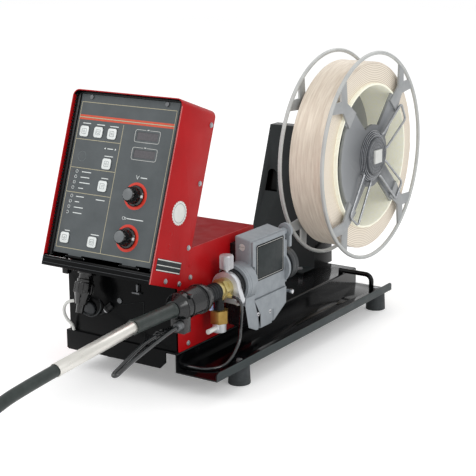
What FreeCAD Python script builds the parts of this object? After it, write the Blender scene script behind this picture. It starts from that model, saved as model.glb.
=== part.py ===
import FreeCAD, Part
import math
import os
import Sketcher

# Wire feeder on a bench stand.
# +Z up, +Y from the control panel towards the reel, +X towards the feed head's door.
# The origin lies on the floor below the middle of the feeder's length and width.
# Places are worked out from the stand's datum: its flange face, its front end and the floor.

# Driving dimensions in millimetres and degrees
SIZES = {
    # Stand: one bent sheet with a raised deck and a lower tray along its right side
    "base_length": 668.0,
    "base_width": 339.0,
    "tray_width": 87.0,
    "base_sheet": 2.5,
    "deck_height": 36.0,
    "flange_height": 16.5,
    "flange_end_radius": 7.0,
    "return_width": 45.0,
    "bend_radius": 3.0,
    "tray_hole_radius": 3.5,
    "tray_hole_inset": 42.0,
    "tray_hole_front": 342.0,
    "tray_hole_pitch": 162.0,
    # Rubber feet and the stand's bolts
    "foot_height": 40.0,
    "foot_radius": 21.0,
    "foot_top_radius": 19.0,
    "foot_inset": 26.0,
    "front_foot_place": 110.0,
    "rear_foot_back": 23.0,
    "bolt_radius": 3.0,
    "bolt_head_radius": 6.0,
    "bolt_head_height": 4.0,
    "bolt_depth": 18.0,
    "bolt_clearance": 0.2,
    # Front plate: lower skirt, ledge and upper plate in one bent sheet
    "plate_sheet": 2.5,
    "skirt_drop": 33.0,
    "skirt_end_gap": 22.0,
    "skirt_chamfer": 13.0,
    "ledge_depth": 7.5,
    "upper_plate_height": 118.7,
    "plate_side_gap": 3.5,
    # Rear handle, a bent round bar
    "handle_radius": 5.0,
    "handle_place": 612.0,
    "handle_inset": 20.0,
    "handle_rise": 7.0,
    "handle_bend": 14.0,
    # Reel mast, a folded sheet channel
    "mast_sheet": 3.0,
    "mast_front": 609.0,
    "mast_right": 158.0,
    "mast_foot_width": 174.0,
    "mast_top_width": 113.0,
    "mast_height": 309.0,
    "mast_side_depth": 78.0,
    "mast_top_depth": 62.0,
    "mast_left_return": 30.0,
    "mast_foot_reach": 46.0,
    "mast_bolt_inset": 22.0,
    "window_width": 31.0,
    "window_height": 50.0,
    "window_right": 96.0,
    "window_rise": 161.0,
    "window_slant": 8.0,
    "window_cup_depth": 20.0,
    # Spindle, retaining collar and release bar
    "reel_axis_place": 640.2,
    "reel_axis_height": 333.7,
    "spindle_radius": 25.4,
    "spindle_flange_radius": 41.0,
    "spindle_flange_length": 8.0,
    "spindle_length": 119.4,
    "spindle_neck_radius": 12.0,
    "spindle_neck_length": 3.0,
    "collar_radius": 39.0,
    "collar_length": 12.0,
    "bar_width": 30.0,
    "bar_height": 28.0,
    "bar_length": 8.0,
    "bar_travel": 4.0,
    "slide_gap": 0.3,
    "running_gap": 0.06,
    # Reel
    "reel_plane": 37.0,
    "reel_gap": 97.0,
    "rim_radius": 215.0,
    "rim_wire_radius": 4.0,
    "arm_thickness": 4.0,
    "arm_root_radius": 128.0,
    "arm_spread": 12.0,
    "arm_turn": 2.0,
    "arm_neck_width": 40.0,
    "hub_outer_radius": 34.0,
    "hub_plate_thickness": 6.0,
    "hub_plate_radius": 66.0,
    "paddle_width": 42.0,
    "liner_radius": 148.0,
    "liner_wall": 4.0,
    "coil_radius": 192.1,
    "coil_width": 78.0,
    "weld_wire": 4.0,
    "wire_turns": 14.0,
    "clip_wire_radius": 2.5,
    "clip_reach": 152.0,
    # Control case, leaning back on the stand's front
    "lean": 19.5,
    "case_width": 244.2,
    "case_height": 305.0,
    "case_depth": 105.0,
    "case_front": 67.1,
    "case_bottom": 240.0,
    "case_sheet": 2.0,
    "case_corner_radius": 13.0,
    "rail_height": 18.0,
    "rail_gap": 0.4,
    "housing_top": 259.5,
    "housing_rear": 254.0,
    "housing_front": 7.6,
    "inlet_radius": 14.0,
    "inlet_place": 70.0,
    "inlet_drop": 60.0,
    "case_screw_radius": 5.0,
    "case_screw_height": 2.6,
    # Front panel, a door hinged along its lower edge
    "panel_recess": 12.0,
    "panel_thickness": 4.0,
    "panel_side_gap": 10.0,
    "panel_foot_gap": 9.0,
    "panel_top_gap": 4.0,
    "hinge_rise": 4.0,
    "hinge_depth": 14.0,
    "hinge_pin_radius": 1.5,
    "hinge_barrel_radius": 3.4,
    "tab_width": 30.0,
    "tab_place_right": 60.0,
    "tab_place_left": 182.0,
    "panel_screw_radius": 4.0,
    # Keys, knobs, windows and lamps on the panel
    "key_size": 17.0,
    "key_stand": 1.6,
    "key_flange": 1.5,
    "key_travel": 1.0,
    "key_gap": 0.3,
    "window_clear_width": 46.0,
    "window_clear_height": 14.5,
    "window_clear_place": 70.9,
    "upper_window_rise": 234.0,
    "lower_window_rise": 202.5,
    "lens_gap": 0.2,
    "knob_radius": 19.0,
    "knob_face_radius": 13.0,
    "knob_length": 23.0,
    "knob_skirt": 5.0,
    "knob_stand": 1.2,
    "knob_shaft_radius": 3.0,
    "volts_knob_place": 72.8,
    "volts_knob_rise": 128.4,
    "speed_knob_place": 74.2,
    "speed_knob_rise": 53.6,
    "lamp_radius": 1.8,
    "lamp_place": 220.0,
    "lamp_rise": 158.0,
    "lamp_pitch": 9.9,
    "lamp_group_drop": 45.0,
    "board_back": 16.0,
    "board_thickness": 1.6,
    "board_margin": 12.0,
    "standoff_radius": 3.0,
    # Feed head
    "feed_inset": 58.0,
    "feed_height": 176.0,
    "head_left": 74.0,
    "head_right": 38.0,
    "head_front": 169.0,
    "head_rear": 281.0,
    "split_drop": 38.0,
    "top_inner_rise": 83.0,
    "top_outer_rise": 75.8,
    "head_wall": 6.0,
    "lobe_right": 30.0,
    "lobe_drop": 94.0,
    "boss_radius": 36.0,
    "boss_front": 136.0,
    "boss_rear": 297.0,
    "socket_radius": 21.0,
    "socket_depth": 15.0,
    "roll_radius": 19.0,
    "roll_width": 18.0,
    "roll_place": 207.0,
    "roll_gap": 0.6,
    "roll_bore": 5.0,
    "arm_pivot_place": 257.0,
    "arm_pivot_rise": 24.0,
    "arm_plate": 5.0,
    "arm_width": 14.0,
    "door_thickness": 4.7,
    "door_foot_drop": 35.0,
    "door_top_gap": 1.5,
    "door_pin_back": 3.5,
    "door_knuckle_radius": 3.3,
    "door_knuckle_length": 24.0,
    "pressure_screw_radius": 7.0,
    "pressure_screw_rise": 62.0,
    "lever_radius": 15.0,
    "lever_back": 17.0,
    "lever_rise": 67.8,
    "lever_thickness": 8.0,
    "lever_inset": 7.5,
    "lever_stub_radius": 7.0,
    "guide_radius": 5.0,
    "guide_disc_radius": 33.0,
    "wire_bore": 1.6,
    # Drive behind the feed head
    "gear_module": 1.5,
    "gear_teeth": 48.0,
    "pinion_teeth": 12.0,
    "gear_width": 14.0,
    "gear_wall": 3.0,
    "gear_case_length": 60.0,
    "motor_radius": 42.0,
    "motor_length": 128.0,
    "shaft_radius": 6.0,
    # Gun connection
    "bushing_radius": 28.5,
    "bushing_front": 112.0,
    "bushing_thickness": 12.0,
    "lug_radius": 9.0,
    "lug_reach": 27.0,
    "lug_fall": 21.0,
    "thumb_radius": 13.0,
    "thumb_height": 24.0,
    "thumb_stem_radius": 4.0,
    "thumb_stem": 17.0,
    "connector_radius": 19.0,
    "connector_length": 20.0,
    "connector_nose": 8.0,
    "nipple_radius": 4.0,
    "nipple_reach": 22.0,
    "nipple_drop": 12.0,
    "boot_radius": 15.0,
    "boot_rib": 1.6,
    "boot_length": 44.0,
    "clamp_radius": 25.0,
    "clamp_length": 88.0,
    "grip_radius": 13.5,
    "grip_length": 112.0,
    "sleeve_radius": 11.2,
    "sleeve_length": 194.0,
    "sleeve_droop": 4.5,
    "sleeve_mouth": 25.0,
    "cable_radius": 10.0,
    "cord_clearance": 0.4,
    # Gas valve below the connector
    "valve_radius": 17.5,
    "valve_height": 24.0,
    "valve_bottom": 115.0,
    "valve_nut_height": 17.0,
    "barb_radius": 4.5,
    "barb_length": 37.0,
    "barb_stop_radius": 6.5,
    "barb_stop_length": 14.5,
    "valve_place": 93.5,
    # Plug under the control case
    "plug_place": 184.0,
    "plug_depth": 58.0,
    # Loose leads
    "lead_radius": 2.5,
    "trigger_lead_radius": 3.2,
    "tube_radius": 3.0,
    "tube_fitting": 14.0,
    # The cable's put-away coil and the gun on its end
    "loop_radius": 115.0,
    "loop_pitch": 21.0,
    "loop_lift": 10.3,
    "gun_grip_radius": 20.0,
    "gun_grip_length": 225.0,
    "gun_neck_radius": 8.5,
    "gun_neck_bend": 60.0,
    "gun_nozzle_radius": 11.0,
    "gun_nozzle_length": 54.0,
    "trigger_width": 9.0,
    "trigger_length": 44.0,
    "trigger_reach": 6.0,
}

document = FreeCAD.newDocument("wire_feeder")
sheet = document.addObject("Spreadsheet::Sheet", "sizes")
for row, (alias, number) in enumerate(SIZES.items(), start=1):
    sheet.set(f"A{row}", alias)
    sheet.set(f"B{row}", str(number))
    sheet.setAlias(f"B{row}", alias)
document.recompute()


class Dim:
    """A size: its number now, and the sheet expression that it comes from."""

    def __init__(self, value, text):
        self.value = float(value)
        self.text = text

    def __float__(self):
        return self.value

    def __add__(self, other):
        other = dim(other)
        return Dim(self.value + other.value, f"({self.text} + {other.text})")

    def __radd__(self, other):
        return dim(other) + self

    def __sub__(self, other):
        other = dim(other)
        return Dim(self.value - other.value, f"({self.text} - {other.text})")

    def __rsub__(self, other):
        return dim(other) - self

    def __mul__(self, other):
        other = dim(other)
        return Dim(self.value * other.value, f"({self.text} * {other.text})")

    def __rmul__(self, other):
        return dim(other) * self

    def __truediv__(self, other):
        other = dim(other)
        return Dim(self.value / other.value, f"({self.text} / {other.text})")

    def __neg__(self):
        return Dim(-self.value, f"(0 - {self.text})")


def dim(number):
    """A plain number as a size without a cell."""
    return number if isinstance(number, Dim) else Dim(number, f"{float(number):.6f}")


def size(alias):
    """The size in the sheet's cell of that alias."""
    return Dim(sheet.get(alias), f"sizes.{alias}")


def cos(angle):
    """Cosine of a size in degrees."""
    angle = dim(angle)
    return Dim(math.cos(math.radians(angle.value)), f"cos({angle.text})")


def sin(angle):
    """Sine of a size in degrees."""
    angle = dim(angle)
    return Dim(math.sin(math.radians(angle.value)), f"sin({angle.text})")


def root(number):
    """Square root of a size."""
    number = dim(number)
    return Dim(math.sqrt(number.value), f"sqrt({number.text})")


def bind(item, name, amount):
    """Give a property its size, tied to the sheet where the size has a cell."""
    amount = dim(amount)
    if "sizes." in amount.text:
        item.setExpression(name, amount.text)
    else:
        target = item
        *path, last = name.split(".")
        for step in path:
            target = getattr(target, step)
        setattr(target, last, amount.value)


def place(item, x, y, z, axis=(0, 0, 1), angle=0):
    """Put an item at a point, turned about an axis."""
    angle = dim(angle)
    x, y, z = dim(x), dim(y), dim(z)
    item.Placement = FreeCAD.Placement(
        FreeCAD.Vector(x.value, y.value, z.value),
        FreeCAD.Rotation(FreeCAD.Vector(*axis), angle.value),
    )
    for name, amount in (("x", x), ("y", y), ("z", z)):
        if "sizes." in amount.text:
            item.setExpression(f"Placement.Base.{name}", amount.text)
    if "sizes." in angle.text:
        item.setExpression("Placement.Rotation.Angle", angle.text)
    return item


# Turns that point a cylinder's own axis along a direction
POINTING = {
    "+X": ((0, 1, 0), 90),
    "+Y": ((1, 0, 0), -90),
    "-Y": ((1, 0, 0), 90),
    "+Z": ((0, 0, 1), 0),
    "-Z": ((1, 0, 0), 180),
}


def block(x, y, z, dx, dy, dz):
    """A box from its lowest corner."""
    item = document.addObject("Part::Box", "Block")
    for name, amount in (("Length", dx), ("Width", dy), ("Height", dz)):
        bind(item, name, amount)
    return place(item, x, y, z)


def rod(pointing, x, y, z, radius, length):
    """A cylinder that starts at a point and runs along a direction."""
    item = document.addObject("Part::Cylinder", "Rod")
    bind(item, "Radius", radius)
    bind(item, "Height", length)
    axis, angle = POINTING[pointing]
    return place(item, x, y, z, axis, angle)


def taper(pointing, x, y, z, start_radius, end_radius, length):
    """A cone that starts at a point and runs along a direction."""
    item = document.addObject("Part::Cone", "Taper")
    bind(item, "Radius1", start_radius)
    bind(item, "Radius2", end_radius)
    bind(item, "Height", length)
    axis, angle = POINTING[pointing]
    return place(item, x, y, z, axis, angle)


def joined(*items):
    """Several solids as one item: fused where they touch, apart where they don't."""
    item = document.addObject("Part::MultiFuse", "Joined")
    item.Shapes = list(items)
    item.Refine = True
    return item


def cut(base, *tools):
    """A solid with other solids taken away."""
    item = document.addObject("Part::Cut", "Cut")
    item.Base = base
    item.Tool = tools[0] if len(tools) == 1 else joined(*tools)
    item.Refine = True
    return item


NODES = {}


def node(name, item):
    """Name a sub-part; its name is also its file's."""
    item.Label = name
    NODES[name] = item
    return item


def shape_node(name, shape):
    """A sub-part whose shape is worked out by formula."""
    item = document.addObject("Part::Feature", name)
    item.Shape = shape
    return node(name, item)


def new_body(name, x=0, y=0, z=0, axis=(0, 0, 1), angle=0):
    """An empty body at a point."""
    body = document.addObject("PartDesign::Body", name)
    place(body, x, y, z, axis, angle)
    return body


def new_sketch(body, role, offset=None):
    """A sketch on one of the body's own planes, moved along its normal."""
    plane = next(item for item in body.Origin.OriginFeatures if item.Role == role)
    sketch = body.newObject("Sketcher::SketchObject", "Sketch")
    sketch.AttachmentSupport = [(plane, "")]
    sketch.MapMode = "FlatFace"
    if offset is not None:
        bind(sketch, "AttachmentOffset.Base.z", offset)
    return sketch


def hold(sketch, geometry, point, horizontal, vertical):
    """Hold a point of the sketch at its distances from the sketch's origin."""
    for kind, amount, axis in (("DistanceX", horizontal, -2), ("DistanceY", vertical, -1)):
        amount = dim(amount)
        if abs(amount.value) < 1e-9:
            sketch.addConstraint(Sketcher.Constraint("PointOnObject", geometry, point, axis))
            continue
        rule = Sketcher.Constraint(kind, -1, 1, geometry, point, amount.value)
        index = sketch.addConstraint(rule)
        if "sizes." in amount.text:
            sketch.setExpression(f"Constraints[{index}]", amount.text)


def polygon(sketch, points):
    """A closed outline of straight lines."""
    points = [(dim(a), dim(b)) for a, b in points]
    vectors = [FreeCAD.Vector(a.value, b.value, 0) for a, b in points]
    first = sketch.GeometryCount
    count = len(points)
    for i in range(count):
        sketch.addGeometry(Part.LineSegment(vectors[i], vectors[(i + 1) % count]), False)
    for i in range(count):
        following = first + (i + 1) % count
        sketch.addConstraint(Sketcher.Constraint("Coincident", first + i, 2, following, 1))
    for i, (a, b) in enumerate(points):
        hold(sketch, first + i, 1, a, b)


def ring(sketch, horizontal, vertical, radius):
    """A circle."""
    horizontal, vertical, radius = dim(horizontal), dim(vertical), dim(radius)
    centre = FreeCAD.Vector(horizontal.value, vertical.value, 0)
    circle = Part.Circle(centre, FreeCAD.Vector(0, 0, 1), radius.value)
    index = sketch.addGeometry(circle, False)
    hold(sketch, index, 3, horizontal, vertical)
    rule = sketch.addConstraint(Sketcher.Constraint("Radius", index, radius.value))
    if "sizes." in radius.text:
        sketch.setExpression(f"Constraints[{rule}]", radius.text)


def pad(body, sketch, length, back=False):
    """Raise the sketch into the solid, along its normal or against it."""
    feature = body.newObject("PartDesign::Pad", "Pad")
    feature.Profile = sketch
    bind(feature, "Length", length)
    feature.Reversed = back
    return feature


def pocket(body, sketch, depth, back=False):
    """Cut the sketch out of the solid, against its normal or along it."""
    feature = body.newObject("PartDesign::Pocket", "Pocket")
    feature.Profile = sketch
    bind(feature, "Length", depth)
    feature.Reversed = back
    return feature


def turned(body, sketch, axis="V_Axis"):
    """Turn the sketch once round its own axis."""
    feature = body.newObject("PartDesign::Revolution", "Revolution")
    feature.Profile = sketch
    feature.ReferenceAxis = (sketch, [axis])
    feature.Angle = 360
    return feature


def rounded(body, base, radius, chosen):
    """Round the edges that the test chooses, worked out on the solid as it stands."""
    document.recompute()
    names = [
        f"Edge{i}" for i, edge in enumerate(base.Shape.Edges, start=1) if chosen(edge)
    ]
    feature = body.newObject("PartDesign::Fillet", "Fillet")
    feature.Base = (base, names)
    bind(feature, "Radius", radius)
    body.Tip = feature
    return feature


def along(edge, axis):
    """Whether a straight edge runs along an axis, 0, 1 or 2."""
    if not isinstance(edge.Curve, Part.Line):
        return False
    return abs(abs(edge.Curve.Direction[axis]) - 1) < 1e-6


def at(edge, **wanted):
    """Whether the middle of an edge lies at the given coordinates."""
    middle = edge.BoundBox.Center
    return all(
        abs(getattr(middle, name) - float(value)) < 0.01 for name, value in wanted.items()
    )


# Datum planes of the stand in the part's frame
lean = size("lean")
rear_reach = size("reel_axis_place") + size("rim_radius") + size("rim_wire_radius")
front_reach = size("case_front") + size("rail_height") * sin(lean)
RIGHT = size("base_width") / 2
FRONT = (front_reach - rear_reach) / 2
FLOOR_OF_TRAY = size("foot_height")
TRAY_TOP = FLOOR_OF_TRAY + size("base_sheet")
DECK_TOP = FLOOR_OF_TRAY + size("deck_height")


def make_base_frame():
    """The bent sheet: left return, left wall, deck, right wall, tray and flange."""
    thick = size("base_sheet")
    left = -size("base_width")
    step = -size("tray_width")
    low = FLOOR_OF_TRAY
    body = new_body("BaseFrame", RIGHT, FRONT, 0)
    profile = new_sketch(body, "XZ_Plane")
    polygon(
        profile,
        [
            (left + size("return_width"), low),
            (left, low),
            (left, DECK_TOP),
            (step, DECK_TOP),
            (step, TRAY_TOP),
            (-thick, TRAY_TOP),
            (-thick, low + size("flange_height")),
            (0, low + size("flange_height")),
            (0, low),
            (step - thick, low),
            (step - thick, DECK_TOP - thick),
            (left + thick, DECK_TOP - thick),
            (left + thick, TRAY_TOP),
            (left + size("return_width"), TRAY_TOP),
        ],
    )
    raised = pad(body, profile, size("base_length"), back=True)
    top = low + size("flange_height")
    ends = rounded(
        body,
        raised,
        size("flange_end_radius"),
        lambda edge: along(edge, 0)
        and edge.Length < float(thick) + 0.1
        and abs(edge.BoundBox.Center.z - float(top)) < 0.01,
    )
    bends = rounded(
        body,
        ends,
        size("bend_radius"),
        lambda edge: along(edge, 1)
        and (at(edge, x=step, z=DECK_TOP) or at(edge, x=left, z=DECK_TOP)),
    )
    holes = new_sketch(body, "XY_Plane", TRAY_TOP)
    for count in range(2):
        along_tray = size("tray_hole_front") + size("tray_hole_pitch") * count
        ring(holes, -size("tray_hole_inset"), along_tray, size("tray_hole_radius"))
    for x, y in foot_places():
        ring(holes, x, y, size("bolt_radius") + size("bolt_clearance"))
    body.Tip = bends
    pocket(body, holes, thick)
    deck_holes = new_sketch(body, "XY_Plane", DECK_TOP)
    for x, y in mast_bolt_places():
        ring(deck_holes, x, y, size("bolt_radius") + size("bolt_clearance"))
    pocket(body, deck_holes, thick)
    return node("base_frame", body)


def foot_places():
    """The feet's middles from the stand's datum, right pair first."""
    right = -size("foot_inset")
    left = size("foot_inset") - size("base_width")
    front = size("front_foot_place")
    rear = size("base_length") - size("rear_foot_back")
    return [(right, front), (right, rear), (left, front), (left, rear)]


def mast_bolt_places():
    """The mast's two bolts from the stand's datum."""
    inset = size("mast_bolt_inset")
    row = size("mast_front") - size("mast_foot_reach") / 2
    right = -size("mast_right") - inset
    left = -size("mast_right") - size("mast_foot_width") + inset
    return [(right, row), (left, row)]


def make_feet_and_bolts():
    """Four rubber feet, the bolts that hold them and the mast's two bolts."""
    feet = []
    bolts = []
    bore = size("bolt_radius") + size("bolt_clearance")
    for x, y in foot_places():
        foot = taper(
            "+Z", RIGHT + x, FRONT + y, 0,
            size("foot_radius"), size("foot_top_radius"), size("foot_height"),
        )
        depth = size("bolt_depth")
        hole = rod("+Z", RIGHT + x, FRONT + y, size("foot_height") - depth, bore, depth)
        feet.append(cut(foot, hole))
        bolts.append(bolt(RIGHT + x, FRONT + y, TRAY_TOP, size("bolt_depth")))
    lift = DECK_TOP + size("mast_sheet")
    for x, y in mast_bolt_places():
        bolts.append(bolt(RIGHT + x, FRONT + y, lift, size("bolt_depth") / 2))
    node("rubber_feet", joined(*feet))
    node("base_bolts", joined(*bolts))


def bolt(x, y, z, shank):
    """A round-headed bolt seated at z, its shank below."""
    head = rod("+Z", x, y, z, size("bolt_head_radius"), size("bolt_head_height"))
    stem = rod("+Z", x, y, z - shank, size("bolt_radius"), shank)
    return joined(head, stem)


def make_front_plate():
    """Skirt, ledge and upper plate, bent from one sheet across the stand's front."""
    thick = size("plate_sheet")
    left = RIGHT - size("base_width")
    wide = size("base_width") - size("tray_width")
    front = FRONT - thick - size("slide_gap")
    skirt_top = DECK_TOP + size("slide_gap")
    body = new_body("FrontPlate", 0, front, 0)
    face = new_sketch(body, "XZ_Plane")
    low = DECK_TOP - size("skirt_drop")
    end = RIGHT - size("tray_width") - size("skirt_end_gap")
    chamfer = size("skirt_chamfer")
    polygon(
        face,
        [
            (left, low),
            (end - chamfer, low),
            (end, low + chamfer),
            (end, skirt_top),
            (left, skirt_top),
        ],
    )
    pad(body, face, thick, back=True)
    ledge = new_sketch(body, "XY_Plane", skirt_top)
    polygon(
        ledge,
        [
            (left, 0),
            (left + wide, 0),
            (left + wide, size("ledge_depth") + thick),
            (left, size("ledge_depth") + thick),
        ],
    )
    pad(body, ledge, thick)
    upper = new_sketch(body, "XZ_Plane", -size("ledge_depth"))
    inner = left + size("plate_side_gap")
    outer = left + wide - size("plate_side_gap")
    high = skirt_top + size("upper_plate_height")
    polygon(
        upper,
        [(inner, skirt_top), (outer, skirt_top), (outer, high), (inner, high)],
    )
    pad(body, upper, thick, back=True)
    edge = size("tube_fitting")
    reach = size("ledge_depth") + edge + 6
    fitting = block(left + 38, front + size("ledge_depth") - reach, size("case_bottom") - 97 - edge / 2,
                    edge, reach + thick / 2, edge)
    plate = joined(body, fitting)
    return node("front_plate", plate)


def make_rear_handle():
    """A round bar from the deck's wall, bent down to the tray."""
    radius = size("handle_radius")
    bend = size("handle_bend")
    height = DECK_TOP + size("handle_rise")
    y = FRONT + size("handle_place")
    wall = RIGHT - size("tray_width")
    leg_x = RIGHT - size("handle_inset")
    leg = rod("+Z", leg_x, y, TRAY_TOP, radius, height - bend - TRAY_TOP)
    bar = rod("+X", wall - size("base_sheet") * 4, y, height, radius,
              leg_x - bend - wall + size("base_sheet") * 4)
    corner = document.addObject("Part::Torus", "Corner")
    bind(corner, "Radius1", bend)
    bind(corner, "Radius2", radius)
    corner.Angle3 = 90
    place(corner, leg_x - bend, y, height - bend, (1, 0, 0), 90)
    foot = block(wall - size("base_sheet") * 4, y - radius, DECK_TOP,
                 size("base_sheet") * 4, radius * 2, size("handle_rise"))
    return node("rear_handle", joined(leg, bar, corner, foot))


def make_reel_mast():
    """The folded channel that carries the spindle, with its foot on the deck."""
    thick = size("mast_sheet")
    right = -size("mast_right")
    foot_left = right - size("mast_foot_width")
    top_left = right - size("mast_top_width")
    low = DECK_TOP
    high = low + size("mast_height")
    front = size("mast_front")
    body = new_body("ReelMast", RIGHT, FRONT, 0)
    web = new_sketch(body, "XZ_Plane", -front)
    polygon(web, [(foot_left, low), (right, low), (right, high), (top_left, high)])
    pad(body, web, thick, back=True)
    left_return = new_sketch(body, "XZ_Plane", -front)
    polygon(
        left_return,
        [
            (foot_left, low),
            (foot_left + thick, low),
            (top_left + thick, high - thick),
            (right, high - thick),
            (right, high),
            (top_left, high),
        ],
    )
    pad(body, left_return, size("mast_left_return"), back=True)
    side = new_sketch(body, "YZ_Plane", right - thick)
    polygon(
        side,
        [
            (front, low),
            (front + size("mast_side_depth"), low),
            (front + size("mast_top_depth"), high),
            (front, high),
        ],
    )
    pad(body, side, thick)
    foot = new_sketch(body, "XY_Plane", low)
    polygon(
        foot,
        [
            (foot_left, front - size("mast_foot_reach")),
            (right, front - size("mast_foot_reach")),
            (right, front + thick),
            (foot_left, front + thick),
        ],
    )
    pad(body, foot, thick)
    opening_right = right - size("window_right")
    opening_left = opening_right - size("window_width")
    sill = low + size("window_rise")
    arch_left = opening_left + size("window_slant")
    arch_radius = (size("window_width") - size("window_slant")) / 2
    arch_middle = arch_left + arch_radius
    shoulder = sill + size("window_height") - arch_radius
    cup_depth = size("window_cup_depth")

    def window_sketches(rim):
        pane = new_sketch(body, "XZ_Plane", -front)
        polygon(
            pane,
            [
                (opening_left - rim, sill - rim),
                (opening_right + rim, sill - rim),
                (opening_right + rim, shoulder),
                (arch_left - rim, shoulder),
            ],
        )
        arch = new_sketch(body, "XZ_Plane", -front)
        ring(arch, arch_middle, shoulder, arch_radius + rim)
        return pane, arch

    # A closed cup behind the window, as a hand-hold
    for outline in window_sketches(thick):
        pad(body, outline, cup_depth, back=True)
    for outline in window_sketches(0):
        pocket(body, outline, cup_depth - thick)
    holes = new_sketch(body, "XY_Plane", low + thick)
    for x, y in mast_bolt_places():
        ring(holes, x, y, size("bolt_radius") + size("bolt_clearance"))
    pocket(body, holes, thick)
    return node("reel_mast", body)


# Places along the reel's axis
REEL_Y = FRONT + size("reel_axis_place")
REEL_Z = size("reel_axis_height")
MAST_FACE = RIGHT - size("mast_right")
SPINDLE_END = MAST_FACE + size("spindle_length")


def make_spindle():
    """Spindle, retaining collar and release bar."""
    flange = rod("+X", MAST_FACE, REEL_Y, REEL_Z,
                 size("spindle_flange_radius"), size("spindle_flange_length"))
    shaft = rod("+X", MAST_FACE, REEL_Y, REEL_Z, size("spindle_radius"), size("spindle_length"))
    neck = rod("+X", SPINDLE_END, REEL_Y, REEL_Z,
               size("spindle_neck_radius"), size("spindle_neck_length"))
    node("spindle", joined(flange, shaft, neck))

    collar = rod("+X", SPINDLE_END, REEL_Y, REEL_Z, size("collar_radius"), size("collar_length"))
    socket = rod("+X", SPINDLE_END, REEL_Y, REEL_Z,
                 size("spindle_neck_radius"), size("spindle_neck_length"))
    gap = size("slide_gap")
    bar_start = SPINDLE_END + size("collar_length") + size("bar_travel") - size("bar_length")
    slot = block(
        bar_start - size("bar_travel") - gap,
        REEL_Y - size("bar_width") / 2 - gap,
        REEL_Z - size("bar_height") / 2 - gap,
        size("bar_length") + gap,
        size("bar_width") + gap * 2,
        size("bar_height") + gap * 2,
    )
    node("retaining_collar", cut(collar, socket, slot))
    node(
        "release_bar",
        block(
            bar_start,
            REEL_Y - size("bar_width") / 2,
            REEL_Z - size("bar_height") / 2,
            size("bar_length"),
            size("bar_width"),
            size("bar_height"),
        ),
    )


RIM_RIGHT = RIGHT - size("reel_plane")
RIM_LEFT = RIM_RIGHT - size("reel_gap")
ARM_ANGLES = (45, 135, 225, 315)


def reel_point(radius, angle):
    """A point of the reel's side, from its axis, as (Y, Z)."""
    return radius * cos(angle), radius * sin(angle)


def reel_side(x):
    """One rim with its four forked arms."""
    rim = document.addObject("Part::Torus", "Rim")
    bind(rim, "Radius1", size("rim_radius"))
    bind(rim, "Radius2", size("rim_wire_radius"))
    place(rim, x, REEL_Y, REEL_Z, (0, 1, 0), 90)
    thick = size("arm_thickness")
    body = new_body("ReelArms", x - thick / 2, REEL_Y, REEL_Z)
    arms = new_sketch(body, "YZ_Plane")
    outer = size("rim_radius")
    root_radius = size("arm_root_radius")
    fork = (outer + root_radius) / 2
    for angle in ARM_ANGLES:
        middle = size("arm_turn") + angle
        half = size("arm_spread")
        neck = size("arm_neck_width") / 2
        across_y, across_z = -sin(middle) * neck, cos(middle) * neck
        low_y, low_z = reel_point(root_radius, middle)
        waist_y, waist_z = reel_point(fork, middle)
        polygon(
            arms,
            [
                (low_y - across_y, low_z - across_z),
                (waist_y - across_y * 0.6, waist_z - across_z * 0.6),
                reel_point(outer, middle - half),
                reel_point(outer, middle - half * 0.45),
                reel_point(fork + 22, middle),
                reel_point(outer, middle + half * 0.45),
                reel_point(outer, middle + half),
                (waist_y + across_y * 0.6, waist_z + across_z * 0.6),
                (low_y + across_y, low_z + across_z),
            ],
        )
    pad(body, arms, thick)
    return joined(rim, body)


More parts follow.
